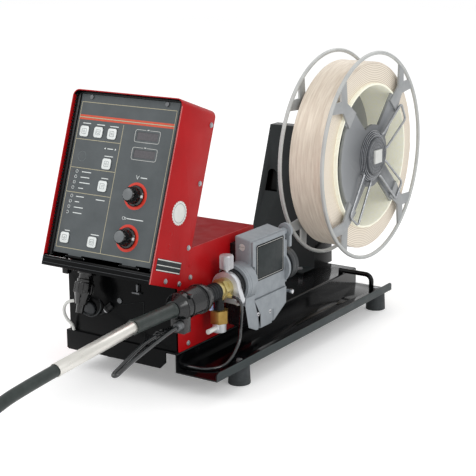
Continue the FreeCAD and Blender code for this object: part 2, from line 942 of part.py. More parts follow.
def make_reel():
    """Rims with arms, hub, cardboard liner, wound wire and the wire's clips."""
    node("reel_sides", joined(reel_side(RIM_RIGHT), reel_side(RIM_LEFT)))

    plate = size("hub_plate_thickness")
    half = size("arm_thickness") / 2
    bore = size("spindle_radius") + size("running_gap")
    hub_left = RIM_LEFT + half
    right_plate = RIM_RIGHT - half - plate
    hub_right = SPINDLE_END - size("slide_gap")
    sleeve = rod("+X", hub_left, REEL_Y, REEL_Z, size("hub_outer_radius"), hub_right - hub_left)
    left_disc = rod("+X", hub_left, REEL_Y, REEL_Z, size("liner_radius"), plate)
    right_disc = rod("+X", right_plate, REEL_Y, REEL_Z, size("hub_plate_radius"), plate)
    paddles = new_body("Paddles", right_plate, REEL_Y, REEL_Z)
    outline = new_sketch(paddles, "YZ_Plane")
    reach = size("liner_radius")
    wide = size("paddle_width") / 2
    for angle in ARM_ANGLES:
        middle = size("arm_turn") + angle
        across_y, across_z = -sin(middle) * wide, cos(middle) * wide
        near_y, near_z = reel_point(size("hub_outer_radius"), middle)
        tip = root(reach * reach - wide * wide)
        far_y, far_z = reel_point(tip, middle)
        polygon(
            outline,
            [
                (near_y - across_y, near_z - across_z),
                (far_y - across_y, far_z - across_z),
                (far_y + across_y, far_z + across_z),
                (near_y + across_y, near_z + across_z),
            ],
        )
    pad(paddles, outline, plate)
    shield = new_body("Shield", right_plate, REEL_Y, REEL_Z)
    band = new_sketch(shield, "YZ_Plane")
    inner = size("hub_plate_radius") * 0.9
    outer = size("arm_root_radius") + 6
    upper, lower = ARM_ANGLES[1], ARM_ANGLES[2]
    steps = 6
    turns = [upper + (lower - upper) * i / steps for i in range(steps + 1)]
    ring_points = [reel_point(outer, size("arm_turn") + turn) for turn in turns]
    ring_points += [reel_point(inner, size("arm_turn") + turn) for turn in reversed(turns)]
    polygon(band, ring_points)
    pad(shield, band, plate)
    through = rod("+X", hub_left - plate, REEL_Y, REEL_Z, bore, size("reel_gap") + plate * 4)
    hub = cut(joined(sleeve, left_disc, right_disc, paddles, shield), through)
    node("reel_hub", hub)

    liner_length = right_plate + plate - hub_left
    shell = rod("+X", hub_left, REEL_Y, REEL_Z,
                size("liner_radius") + size("liner_wall"), liner_length)
    hollow = rod("+X", hub_left, REEL_Y, REEL_Z, size("liner_radius"), liner_length)
    node("coil_liner", cut(shell, hollow))

    coil_left = hub_left + (liner_length - size("coil_width")) / 2
    core = rod("+X", coil_left, REEL_Y, REEL_Z, size("coil_radius"), size("coil_width"))
    inside = rod("+X", coil_left, REEL_Y, REEL_Z,
                 size("liner_radius") + size("liner_wall"), size("coil_width"))
    node("wire_core", cut(core, inside))
    return coil_left


def biarc(start, start_way, end, end_way):
    """Two arcs that leave a point and reach another along given directions."""
    between = end - start
    summed = start_way + end_way
    spread = 2 * (1 - start_way.dot(end_way))
    reach = between.dot(summed)
    if spread < 1e-12:
        arm = between.dot(between) / (2 * reach)
    else:
        arm = (math.sqrt(reach * reach + spread * between.dot(between)) - reach) / spread
    first = start + start_way * arm
    second = end - end_way * arm
    meeting = (first + second) * 0.5
    return [arc_through(start, first, meeting), arc_through(meeting, second, end)]


def arc_through(start, corner, end):
    """The arc from start to end whose tangents meet at the corner."""
    middle = (start + end) * 0.5
    rise = corner - middle
    half_chord = (end - start).Length / 2
    half_turn = math.atan2(rise.Length, half_chord)
    if half_turn < 1e-9:
        return Part.LineSegment(start, end).toShape()
    crown = middle + rise * (math.tan(half_turn / 2) / math.tan(half_turn))
    return Part.Arc(start, crown, end).toShape()


def wound(point, way, places, lead):
    """A winding's edges: a biarc between each two places, with a straight lead at each end."""
    first, last = places[0], places[-1]
    edges = [Part.LineSegment(point(first) - way(first) * lead, point(first)).toShape()]
    for a, b in zip(places, places[1:]):
        edges += biarc(point(a), way(a), point(b), way(b))
    edges.append(Part.LineSegment(point(last), point(last) + way(last) * lead).toShape())
    return edges


def least_gap(edges, diameter):
    """The least gap between stretches of a winding, measured on points along it."""
    points = []
    run = 0
    for edge in edges:
        for share in range(6):
            place_along = edge.getParameterByLength(edge.Length * share / 6)
            points.append((run + edge.Length * share / 6, edge.valueAt(place_along)))
        run += edge.Length
    apart = 12 * diameter
    gaps = [
        (here - there).Length
        for i, (a, here) in enumerate(points)
        for b, there in points[i + 1:]
        if b - a > apart
    ]
    return min(gaps) - diameter


def tube_along(edges, radius):
    """A round tube along edges that follow each other."""
    path = Part.Wire(edges)
    start = edges[0]
    way = start.tangentAt(start.FirstParameter)
    outline = Part.Wire([Part.makeCircle(radius, start.valueAt(start.FirstParameter), way)])
    shell = Part.BRepOffsetAPI.MakePipeShell(path)
    shell.add(outline)
    shell.build()
    shell.makeSolid()
    return shell.shape()


def make_wire_layer(coil_left):
    """The coil's outer layer: one unbroken wire wound side by side over the core."""
    turns = int(size("wire_turns").value)
    wire = float(size("weld_wire"))
    pitch = (float(size("coil_width")) - wire) / turns
    radius = float(size("coil_radius")) + wire / 2 + 0.05
    centre = FreeCAD.Vector(float(coil_left) + wire / 2, float(REEL_Y), float(REEL_Z))
    halves = turns * 2

    def point(turn):
        angle = 2 * math.pi * turn
        return centre + FreeCAD.Vector(
            pitch * turn, radius * math.cos(angle), radius * math.sin(angle)
        )

    def way(turn):
        angle = 2 * math.pi * turn
        lead = pitch / (2 * math.pi * radius)
        return FreeCAD.Vector(lead, -math.sin(angle), math.cos(angle)).normalize()

    edges = wound(point, way, [half / 2 for half in range(halves + 1)], wire)
    print(f"wire layer: {turns} turns, least gap {least_gap(edges, wire):.2f} mm")
    return shape_node("wire_layer", tube_along(edges, wire / 2))


def rounded_path(points, radii):
    """Straight runs joined by tangent arcs, as edges, with each corner's own radius."""
    edges = []
    previous = points[0]
    for i in range(1, len(points) - 1):
        before, corner, after = points[i - 1], points[i], points[i + 1]
        into = (corner - before).normalize()
        out = (after - corner).normalize()
        turn = math.acos(max(-1, min(1, into.dot(out))))
        back = radii[i - 1] * math.tan(turn / 2)
        start = corner - into * back
        end = corner + out * back
        edges.append(Part.LineSegment(previous, start).toShape())
        edges.append(arc_through(start, corner, end))
        previous = end
    edges.append(Part.LineSegment(previous, points[-1]).toShape())
    return edges


def cord_radii(points):
    """Each corner's radius: 0.45 of its shorter run over the tangent of half its turn."""
    radii = []
    for i in range(1, len(points) - 1):
        into = points[i] - points[i - 1]
        out = points[i + 1] - points[i]
        turn = into.getAngle(out)
        radii.append(0.45 * min(into.Length, out.Length) / math.tan(turn / 2))
    return radii


def cord(name, points, radius):
    """A free cord's plain tube along its route."""
    points = [datum(*point) for point in points]
    radii = cord_radii(points)
    edges = rounded_path(points, radii)
    length = sum(edge.Length for edge in edges)
    print(f"{name}: length {length:.0f} mm, radii {[round(r) for r in radii]}")
    solid = tube_along(edges, radius)
    expected = math.pi * radius * radius * length
    print(f"{name}: volume {solid.Volume / expected:.4f} of section times length")
    return shape_node(name, solid)


def datum(x, y, z):
    """A point given from the stand's datum, in the part's frame."""
    return FreeCAD.Vector(float(RIGHT) + float(x), float(FRONT) + float(y), float(z))


def make_wire_clips():
    """Three bent wire loops that hold the coil's inner turns to the reel."""
    wire = float(size("clip_wire_radius"))
    reach = float(size("clip_reach"))
    near = float(size("hub_plate_radius")) - 12
    x = float(RIM_RIGHT) + float(size("arm_thickness")) / 2 + wire
    centre = FreeCAD.Vector(x, float(REEL_Y), float(REEL_Z))
    loops = []
    for middle in (30, -40, -126):
        route = []
        for radius, offset in ((near, -20), (reach, -7), (reach, 9), (near, 20)):
            angle = math.radians(middle + offset)
            across = FreeCAD.Vector(0, radius * math.cos(angle), radius * math.sin(angle))
            route.append(centre + across)
        root_length = wire + float(size("arm_thickness"))
        root_right = route[0] - FreeCAD.Vector(root_length, 0, 0)
        root_left = route[-1] - FreeCAD.Vector(root_length, 0, 0)
        route = [root_right] + route + [root_left]
        bends = [wire * 1.5, wire * 3, wire * 3, wire * 1.5]
        loops.append(tube_along(rounded_path(route, bends), wire))
    return shape_node("wire_clips", Part.makeCompound(loops))


# The control case's own frame: x leftwards from its right side as a negative number,
# depth into the case from its front edge, and rise up its leaning front
CASE_X = RIGHT - size("tray_width")
CASE_Y = FRONT - size("case_front")
CASE_Z = size("case_bottom")


def case_point(depth, rise):
    """The place (Y, Z) of a depth and a rise of the case."""
    y = CASE_Y + rise * sin(lean) + depth * cos(lean)
    z = CASE_Z + rise * cos(lean) - depth * sin(lean)
    return y, z


def on_case(item, x, depth, rise, turn=0):
    """Put an item at a place of the case, leaning with it."""
    y, z = case_point(dim(depth), dim(rise))
    return place(item, CASE_X + x, y, z, (1, 0, 0), dim(turn) - lean)


def case_block(x, depth, rise, dx, dy, dz):
    """A box that leans with the case, from its lowest, foremost, leftmost corner."""
    item = document.addObject("Part::Box", "Block")
    for name, amount in (("Length", dx), ("Width", dy), ("Height", dz)):
        bind(item, name, amount)
    return on_case(item, x, depth, rise)


def case_rod(x, depth, rise, radius, length, outward=True):
    """A cylinder square to the case's front, pointing out of it or into it."""
    item = document.addObject("Part::Cylinder", "Rod")
    bind(item, "Radius", radius)
    bind(item, "Height", length)
    return on_case(item, x, depth, rise, 90 if outward else -90)


def case_bar(x, depth, rise, radius, length):
    """A cylinder along X on the case."""
    y, z = case_point(dim(depth), dim(rise))
    return rod("+X", CASE_X + x, y, z, radius, length)


def case_wall_outline():
    """The side walls' outline below the leaning case, as (Y, Z) points."""
    front = FRONT + size("housing_front")
    rear = FRONT + size("housing_rear")
    low = DECK_TOP
    sheet_thick = size("case_sheet")
    # Where the case's underside and back meet the housing's front and top
    under_front = (front - CASE_Y + size("rail_height") * sin(lean)) / cos(lean)
    under_y, under_z = case_point(under_front, -size("rail_height"))
    back_rise = (size("housing_top") - CASE_Z + size("case_depth") * sin(lean)) / cos(lean)
    back_y, back_z = case_point(size("case_depth"), back_rise)
    nose_y, nose_z = case_point(0, -size("rail_height"))
    brow_y, brow_z = case_point(0, sheet_thick)
    inner_y, inner_z = case_point(size("case_depth") / 2, back_rise)
    return [
        (nose_y, nose_z),
        (brow_y, brow_z),
        (inner_y, inner_z),
        (back_y, back_z),
        (rear, size("housing_top")),
        (rear, low),
        (front, low),
        (under_y, under_z),
    ]


def make_case_shell():
    """Top and both sides of the leaning case, with the side walls down to the deck."""
    thick = size("case_sheet")
    wide = size("case_width")
    high = size("case_height")
    hood = new_body("Hood")
    on_case(hood, 0, 0, 0)
    front = new_sketch(hood, "XZ_Plane")
    polygon(front, [(-wide, 0), (0, 0), (0, high), (-wide, high)])
    pad(hood, front, size("case_depth"), back=True)
    cavity = new_sketch(hood, "XZ_Plane")
    polygon(
        cavity,
        [
            (thick - wide, -thick),
            (-thick, -thick),
            (-thick, high - thick),
            (thick - wide, high - thick),
        ],
    )
    hollow = pocket(hood, cavity, size("case_depth"))

    def upper_corner(edge, inset):
        middle = edge.BoundBox.Center
        sides = (-float(inset), float(inset) - float(wide))
        level = abs(middle.z - float(high) + float(inset)) < 0.01
        return along(edge, 1) and level and min(abs(middle.x - side) for side in sides) < 0.01

    radius = size("case_corner_radius")
    outside = rounded(hood, hollow, radius, lambda edge: upper_corner(edge, 0))
    rounded(hood, outside, radius - thick, lambda edge: upper_corner(edge, thick))
    walls = []
    for x in (CASE_X - thick, CASE_X - wide):
        wall = new_body("SideWall", x, 0, 0)
        outline = new_sketch(wall, "YZ_Plane")
        points = case_wall_outline()
        if walls:
            points = points[2:]
        polygon(outline, points)
        pad(wall, outline, thick)
        walls.append(wall)
    shaft_hole = rod("+X", CASE_X - thick * 2, ROLL_Y, DRIVE_Z,
                     size("shaft_radius") + size("running_gap"), thick * 3)
    return node("case_shell", cut(joined(hood, *walls), shaft_hole))


def make_rear_cover():
    """One bent sheet: the case's back, the housing's top and its rear wall."""
    thick = size("case_sheet")
    gap = size("slide_gap")
    left = CASE_X - size("case_width") + thick + gap
    wide = size("case_width") - (thick + gap) * 2
    depth = size("case_depth")
    top_rise = size("case_height") - thick - gap
    body = new_body("RearCover", left, 0, 0)
    profile = new_sketch(body, "YZ_Plane")
    housing_top = size("housing_top")
    rear = FRONT + size("housing_rear")
    low = DECK_TOP + gap
    back_rise = (housing_top - CASE_Z + depth * sin(lean)) / cos(lean)
    inner_rise = (housing_top - thick - CASE_Z + (depth - thick) * sin(lean)) / cos(lean)
    polygon(
        profile,
        [
            case_point(depth, top_rise),
            case_point(depth, back_rise),
            (rear, housing_top),
            (rear, low),
            (rear - thick, low),
            (rear - thick, housing_top - thick),
            case_point(depth - thick, inner_rise),
            case_point(depth - thick, top_rise),
        ],
    )
    flat = pad(body, profile, wide)
    into = FreeCAD.Vector(0, float(cos(lean)), -float(sin(lean)))
    brow = float(housing_top) + float(size("case_height")) / 2

    def upper_corner(edge):
        if not isinstance(edge.Curve, Part.Line) or edge.BoundBox.Center.z < brow:
            return False
        return abs(abs(edge.Curve.Direction.dot(into)) - 1) < 1e-6

    rounded(body, flat, size("case_corner_radius") - thick - gap, upper_corner)
    hole = rod("+Y", left + size("inlet_place"), rear - thick * 2,
               housing_top - size("inlet_drop"), size("inlet_radius"), thick * 3)
    return node("rear_cover", cut(body, hole))


def make_case_floor():
    """Underside of the case with its front rail, which carries the panel's hinge."""
    thick = size("case_sheet")
    gap = size("rail_gap")
    wide = size("case_width") - thick - gap
    left = -size("case_width")
    drop = size("rail_height")
    rail = case_block(left, 0, -drop, wide, thick * 2, drop)
    floor_depth = size("case_depth") * 0.78
    floor = case_block(left + thick + gap, 0, -drop, wide - thick - gap, floor_depth, thick)
    ears = []
    for place_name in ("tab_place_right", "tab_place_left"):
        middle = -size(place_name)
        for side in (-1, 1):
            ear_x = middle + side * (size("tab_width") / 2 + 3) - 2
            barrel = case_bar(ear_x, size("hinge_depth"), size("hinge_rise"),
                              size("hinge_barrel_radius"), 4)
            strut = case_block(ear_x, size("hinge_depth") - 2, thick - drop, 4, 4,
                               drop - thick + size("hinge_rise"))
            ears += [barrel, strut]
    bores = [
        case_bar(-size(name) - size("tab_width"), size("hinge_depth"), size("hinge_rise"),
                 size("hinge_pin_radius"), size("tab_width") * 2)
        for name in ("tab_place_right", "tab_place_left")
    ]
    return node("case_floor", cut(joined(rail, floor, *ears), *bores))


def make_case_screws():
    """Round-headed screws on both red sides."""
    right_side = [(116, 470), (78.5, 371), (41, 262), (45, 207), (-29, 217.5), (11, 203), (36, 86.5)]
    left_side = [(116, 470), (78.5, 371), (41, 262), (36, 110)]
    high = size("case_screw_height")
    screws = []
    for y, z in right_side:
        screws.append(rod("+X", CASE_X, FRONT + y, z, size("case_screw_radius"), high))
    for y, z in left_side:
        screws.append(rod("+X", CASE_X - size("case_width") - high, FRONT + y, z,
                          size("case_screw_radius"), high))
    return node("case_screws", joined(*screws))


KEY_PLACES = (
    (210.5, 231.3),
    (178.6, 231.8),
    (147.3, 231.5),
    (147.3, 177.4),
    (147.3, 137.2),
    (210.5, 36.8),
    (147.3, 36.2),
)


def make_front_panel():
    """The hinged panel with its openings, hinge tabs and upper screws."""
    thick = size("panel_thickness")
    side = size("case_sheet") + size("panel_side_gap")
    wide = size("case_width") - side * 2
    foot = size("panel_foot_gap")
    high = size("case_height") - foot - size("case_sheet") - size("panel_top_gap")
    back = size("panel_recess") + thick
    plate = new_body("Panel")
    on_case(plate, 0, back, 0)
    face = new_sketch(plate, "XZ_Plane")
    left = side - size("case_width")
    polygon(face, [(left, foot), (left + wide, foot), (left + wide, foot + high), (left, foot + high)])
    key_half = size("key_size") / 2 + size("key_gap")
    for x, rise in KEY_PLACES:
        polygon(
            face,
            [
                (-x - key_half, rise - key_half),
                (-x + key_half, rise - key_half),
                (-x + key_half, rise + key_half),
                (-x - key_half, rise + key_half),
            ],
        )
    half_wide = size("window_clear_width") / 2
    half_high = size("window_clear_height") / 2
    for rise in (size("upper_window_rise"), size("lower_window_rise")):
        x = -size("window_clear_place")
        polygon(
            face,
            [
                (x - half_wide, rise - half_high),
                (x + half_wide, rise - half_high),
                (x + half_wide, rise + half_high),
                (x - half_wide, rise + half_high),
            ],
        )
    shaft = size("knob_shaft_radius") + size("running_gap")
    ring(face, -size("volts_knob_place"), size("volts_knob_rise"), shaft)
    ring(face, -size("speed_knob_place"), size("speed_knob_rise"), shaft)
    for x, rise in lamp_places():
        ring(face, x, rise, size("lamp_radius"))
    pad(plate, face, thick)
    pieces = [plate]
    screws = []
    for x in (-40.0, -208.0):
        rise = size("case_height") - 11.0
        screws.append(case_rod(x, size("panel_recess"), rise, size("panel_screw_radius"), 2.4))
    pin_gap = size("running_gap")
    bores = []
    for name in ("tab_place_right", "tab_place_left"):
        tab_x = -size(name) - size("tab_width") / 2
        rise = size("hinge_rise")
        barrel = case_bar(tab_x, size("hinge_depth"), rise,
                          size("hinge_barrel_radius"), size("tab_width"))
        web = case_block(tab_x, size("panel_recess"), rise, size("tab_width"), thick, foot - rise)
        pieces += [barrel, web]
        bores.append(case_bar(tab_x - 1, size("hinge_depth"), rise,
                              size("hinge_pin_radius") + pin_gap, size("tab_width") + 2))
    return node("front_panel", cut(joined(*pieces, *screws), *bores))


def lamp_places():
    """Two columns' worth of small indicator lamps, as (x, rise)."""
    x = -size("lamp_place")
    first = [(x, size("lamp_rise") - size("lamp_pitch") * i) for i in range(4)]
    start = size("lamp_rise") - size("lamp_group_drop")
    second = [(x, start - size("lamp_pitch") * i) for i in range(4)]
    return first + second


def make_panel_lenses():
    """Window panes and lamp lenses, each seated in its own opening of the panel."""
    gap = size("lens_gap")
    thick = size("panel_thickness")
    panes = []
    wide = size("window_clear_width")
    high = size("window_clear_height")
    for rise in (size("upper_window_rise"), size("lower_window_rise")):
        panes.append(
            case_block(
                -size("window_clear_place") - wide / 2 + gap,
                size("panel_recess") + 0.6,
                rise - high / 2 + gap,
                wide - gap * 2,
                thick - 0.6,
                high - gap * 2,
            )
        )
    for x, rise in lamp_places():
        panes.append(
            case_rod(x, size("panel_recess") + thick, rise, size("lamp_radius"), thick + 0.6)
        )
    return node("panel_lenses", joined(*panes))


def make_keys():
    """Seven square keys with a flange behind the panel that keeps each one in."""
    edge = size("key_size")
    stand = size("key_stand")
    back = size("panel_recess") + size("panel_thickness")
    flange = size("key_flange")
    rim = 1.2
    for number, (x, rise) in enumerate(KEY_PLACES, start=1):
        stem = case_block(
            -x - edge / 2, size("panel_recess") - stand, rise - edge / 2,
            edge, size("panel_thickness") + stand + flange, edge,
        )
        lip = case_block(
            -x - edge / 2 - rim, back + 0.05, rise - edge / 2 - rim,
            edge + rim * 2, flange - 0.05, edge + rim * 2,
        )
        node(f"key_{number}", joined(stem, lip))


def make_knobs():
    """Two fluted pointer knobs on their shafts."""
    knobs = (
        ("knob_volts", size("volts_knob_place"), size("volts_knob_rise")),
        ("knob_speed", size("speed_knob_place"), size("speed_knob_rise")),
    )
    base_depth = size("panel_recess") - size("knob_stand")
    for name, x, rise in knobs:
        skirt = case_rod(-x, base_depth, rise, size("knob_radius"), size("knob_skirt"))
        grip = document.addObject("Part::Cone", "Taper")
        bind(grip, "Radius1", size("knob_face_radius") + 2.5)
        bind(grip, "Radius2", size("knob_face_radius"))
        bind(grip, "Height", size("knob_length") - size("knob_skirt"))
        on_case(grip, -x, base_depth - size("knob_skirt"), rise, 90)
        reach = size("knob_stand") + size("panel_thickness") + size("board_back") - 1.0
        shaft = case_rod(-x, base_depth, rise, size("knob_shaft_radius"), reach, outward=False)
        node(name, joined(skirt, grip, shaft))


def make_control_board():
    """Circuit board behind the panel, on standoffs, with the knobs' potentiometers."""
    back = size("panel_recess") + size("panel_thickness")
    board_depth = back + size("board_back")
    margin = size("board_margin")
    wide = size("case_width") - margin * 2
    foot = size("panel_foot_gap") + margin
    high = size("case_height") - foot - margin
    thick = size("board_thickness")
    left = margin - size("case_width")
    board = case_block(left, board_depth, foot, wide, thick, high)
    pieces = [board]
    inset = size("standoff_radius") * 2
    for x in (left + inset, left + wide - inset):
        for rise in (foot + inset, foot + high - inset):
            pieces.append(case_rod(x, back, rise, size("standoff_radius"),
                                   size("board_back"), outward=False))
    knob_spots = (
        (size("volts_knob_place"), size("volts_knob_rise")),
        (size("speed_knob_place"), size("speed_knob_rise")),
    )
    for x, rise in knob_spots:
        pieces.append(case_rod(-x, board_depth, rise, 8, 9, outward=False))
    for x, rise in KEY_PLACES:
        pieces.append(case_block(-x - 5, back + size("key_flange") + size("key_travel") + 0.4,
                                 rise - 5, 10, size("board_back") - size("key_flange")
                                 - size("key_travel") - 0.4, 10))
    holes = [
        case_rod(-x, back, rise, size("knob_shaft_radius") + size("running_gap"),
                 size("board_back") + thick + 10, outward=False)
        for x, rise in knob_spots
    ]
    return node("control_board", cut(joined(*pieces), *holes))


# Places of the feed line and the head
FEED_X = RIGHT - size("feed_inset")
FEED_Z = size("feed_height")
HEAD_LEFT = RIGHT - size("head_left")
HEAD_RIGHT = RIGHT - size("head_right")
ROLL_Y = FRONT + size("roll_place")
ROLL_DROP = size("roll_radius") + size("roll_gap") / 2
DRIVE_Z = FEED_Z - ROLL_DROP
IDLE_Z = FEED_Z + ROLL_DROP
ROLL_X = FEED_X - size("roll_width") / 2
CAVITY_BACK = HEAD_LEFT + size("head_wall")
HEAD_SPLIT = FEED_Z - size("split_drop")
HEAD_TOP_INNER = FEED_Z + size("top_inner_rise")
HEAD_TOP_OUTER = FEED_Z + size("top_outer_rise")
LOBE_BOTTOM = FEED_Z - size("lobe_drop")
LEVER_Z = FEED_Z + size("lever_rise")
PRESSURE_SCREW_Z = FEED_Z + size("pressure_screw_rise")
ARM_PIVOT_Z = FEED_Z + size("arm_pivot_rise")
DOOR_FOOT = FEED_Z - size("door_foot_drop")


def make_feed_housing():
    """The cast head: a sloped box, round bosses on the feed line and a rounded foot."""
    split = HEAD_SPLIT
    rear = size("head_rear")
    front = size("head_front")
    wall = size("head_wall")
    body = new_body("FeedHousing", 0, FRONT, 0)
    upper = new_sketch(body, "XZ_Plane", -front)
    polygon(
        upper,
        [
            (HEAD_LEFT, split - wall),
            (HEAD_RIGHT, split - wall),
            (HEAD_RIGHT, HEAD_TOP_OUTER),
            (HEAD_LEFT, HEAD_TOP_INNER),
        ],
    )
    box_pad = pad(body, upper, rear - front, back=True)

    def outer_edges(edge):
        middle = edge.BoundBox.Center
        upright = along(edge, 2) and middle.y < float(front) + 0.01
        crown = middle.z > float(HEAD_TOP_OUTER) - 0.01 and not along(edge, 2)
        return upright or crown

    rounded(body, box_pad, size("bend_radius"), outer_edges)
    foot = new_sketch(body, "YZ_Plane", HEAD_LEFT)
    low = LOBE_BOTTOM
    chin = size("boss_front") + 1
    polygon(
        foot,
        [
            (chin + 3, FEED_Z - 24),
            (chin, split),
            (chin + 11, low + 12),
            (front + 5, low),
            (front + 62, low),
            (rear - 1, low + 27),
            (rear, split + 2),
            (front + 8, split + 14),
        ],
    )
    pad(body, foot, RIGHT - size("lobe_right") - HEAD_LEFT)
    boss = new_sketch(body, "XZ_Plane", -size("boss_front"))
    ring(boss, FEED_X, FEED_Z, size("boss_radius"))
    pad(body, boss, front - size("boss_front") + wall / 2, back=True)
    tail = new_sketch(body, "XZ_Plane", -rear + wall / 2)
    ring(tail, FEED_X, FEED_Z, size("boss_radius"))
    pad(body, tail, size("boss_rear") - rear + wall / 2, back=True)
    cavity = new_sketch(body, "YZ_Plane", CAVITY_BACK)
    polygon(
        cavity,
        [
            (front + wall + 2, DRIVE_Z - size("roll_radius") - 3),
            (rear - wall - 2, DRIVE_Z - size("roll_radius") - 3),
            (rear - wall - 2, HEAD_TOP_OUTER - wall),
            (front + wall + 2, HEAD_TOP_OUTER - wall),
        ],
    )
    pocket(body, cavity, HEAD_RIGHT - CAVITY_BACK, back=True)
    cut_away = new_sketch(body, "YZ_Plane", HEAD_RIGHT)
    polygon(
        cut_away,
        [
            (front - 0.5, split + 2),
            (rear + 20, split + 2),
            (rear + 20, HEAD_TOP_INNER),
            (front - 0.5, HEAD_TOP_INNER),
        ],
    )
    pocket(body, cut_away, size("head_left"), back=True)
    knuckle_room = new_sketch(body, "YZ_Plane", HEAD_RIGHT - size("door_knuckle_radius") / 2)
    polygon(
        knuckle_room,
        [
            (rear, split + 2),
            (rear + 20, split + 2),
            (rear + 20, HEAD_TOP_INNER),
            (rear, HEAD_TOP_INNER),
        ],
    )
    pocket(body, knuckle_room, size("head_left"), back=True)
    shaft_hole = new_sketch(body, "YZ_Plane", HEAD_LEFT)
    ring(shaft_hole, size("roll_place"), DRIVE_Z, size("shaft_radius") + size("running_gap"))
    pocket(body, shaft_hole, wall, back=True)
    bore = new_sketch(body, "XZ_Plane", -size("boss_front"))
    ring(bore, FEED_X, FEED_Z, size("guide_radius"))
    pocket(body, bore, size("boss_rear") - size("boss_front"))
    socket = new_sketch(body, "XZ_Plane", -size("boss_front"))
    ring(socket, FEED_X, FEED_Z, size("socket_radius"))
    pocket(body, socket, size("socket_depth"))
    screw = new_sketch(body, "XZ_Plane", -front)
    ring(screw, FEED_X, PRESSURE_SCREW_Z,
         size("pressure_screw_radius") + size("running_gap"))
    pocket(body, screw, wall + 2)
    notches = []
    for offset in (16, 63):
        notches.append(rod("+Z", RIGHT - size("lobe_right") + 1, FRONT + front + offset,
                           low - 2, 4, 28))
    pivot = rod("+X", CAVITY_BACK, FRONT + size("arm_pivot_place"),
                ARM_PIVOT_Z, size("roll_bore"),
                HEAD_RIGHT - CAVITY_BACK - 0.8)
    lever_stub = rod("+Y", LEVER_X, FRONT + rear - 1, LEVER_Z, size("lever_stub_radius"),
                     size("lever_back") + 0.6)
    lever_pin = rod("+Y", LEVER_X, FRONT + rear - 1, LEVER_Z, 4,
                    size("lever_back") + size("lever_thickness") + 2)
    knuckle = rod("+Z", DOOR_PIN_X, DOOR_PIN_Y, door_knuckle_start(1) + 0.4,
                  size("door_knuckle_radius"), size("door_knuckle_length") - 0.8)
    knuckle_root = block(HEAD_RIGHT - 5, FRONT + rear - 1, door_knuckle_start(1) + 0.4,
                         5, size("door_pin_back") + 1, size("door_knuckle_length") - 0.8)
    pin_hole = rod("+Z", DOOR_PIN_X, DOOR_PIN_Y, door_knuckle_start(1) - 5,
                   size("hinge_pin_radius"), size("door_knuckle_length") + 10)
    whole = joined(body, pivot, lever_stub, lever_pin, knuckle, knuckle_root)
    wall_room = block(CASE_X - size("boss_radius"), FRONT + size("boss_front") - 1,
                      FEED_Z - size("boss_radius") - 1, size("boss_radius") + size("slide_gap"),
                      size("housing_rear") - size("boss_front") + 6, size("boss_radius") * 2 + 2)
    return node("feed_housing", cut(whole, pin_hole, wall_room, *notches))


LEVER_X = HEAD_RIGHT - size("lever_inset")
LEVER_Y = FRONT + size("head_rear") + size("lever_back")
DOOR_PIN_X = HEAD_RIGHT + size("door_thickness") / 2
DOOR_PIN_Y = FRONT + size("head_rear") + size("door_pin_back")


def door_knuckle_start(index):
    """The foot of the door hinge's knuckle: 0 and 2 are the door's, 1 is the head's."""
    return DOOR_FOOT + 18 + size("door_knuckle_length") * index


def make_feed_door():
    """The hinged cover over the rolls, with two knuckles on its rear edge."""
    gap = size("slide_gap")
    thick = size("door_thickness") - gap
    front = FRONT + size("head_front")
    rear = FRONT + size("head_rear")
    foot = DOOR_FOOT
    top = HEAD_TOP_OUTER - size("door_top_gap")
    plate = block(HEAD_RIGHT + gap, front, foot, thick, rear - front, top - foot)
    badge = block(HEAD_RIGHT + size("door_thickness"), front + 9, foot + 32, 0.8, 97, 70)
    pieces = [plate, badge]
    bores = []
    for index in (0, 2):
        start = door_knuckle_start(index)
        long = size("door_knuckle_length") - gap
        pieces.append(rod("+Z", DOOR_PIN_X, DOOR_PIN_Y, start, size("door_knuckle_radius"), long))
        pieces.append(block(DOOR_PIN_X - 0.6, rear - 1, start, thick / 2,
                            size("door_pin_back") + 1, long))
        bores.append(rod("+Z", DOOR_PIN_X, DOOR_PIN_Y, start - 2,
                         size("hinge_pin_radius") + size("running_gap"), long + 4))
    boss_room = rod("+Y", FEED_X, front - 1, FEED_Z, size("boss_radius") + 1, 6)
    return node("feed_door", cut(joined(*pieces), boss_room, *bores))


def make_hinge_pins():
    """Plain steel pins of the panel's two hinge tabs and of the feed door."""
    pins = []
    long = size("tab_width") + 13
    for name in ("tab_place_right", "tab_place_left"):
        pins.append(case_bar(-size(name) - long / 2, size("hinge_depth"), size("hinge_rise"),
                             size("hinge_pin_radius"), long))
    start = door_knuckle_start(0)
    pins.append(rod("+Z", DOOR_PIN_X, DOOR_PIN_Y, start, size("hinge_pin_radius"),
                    size("door_knuckle_length") * 3))
    return node("hinge_pins", joined(*pins))


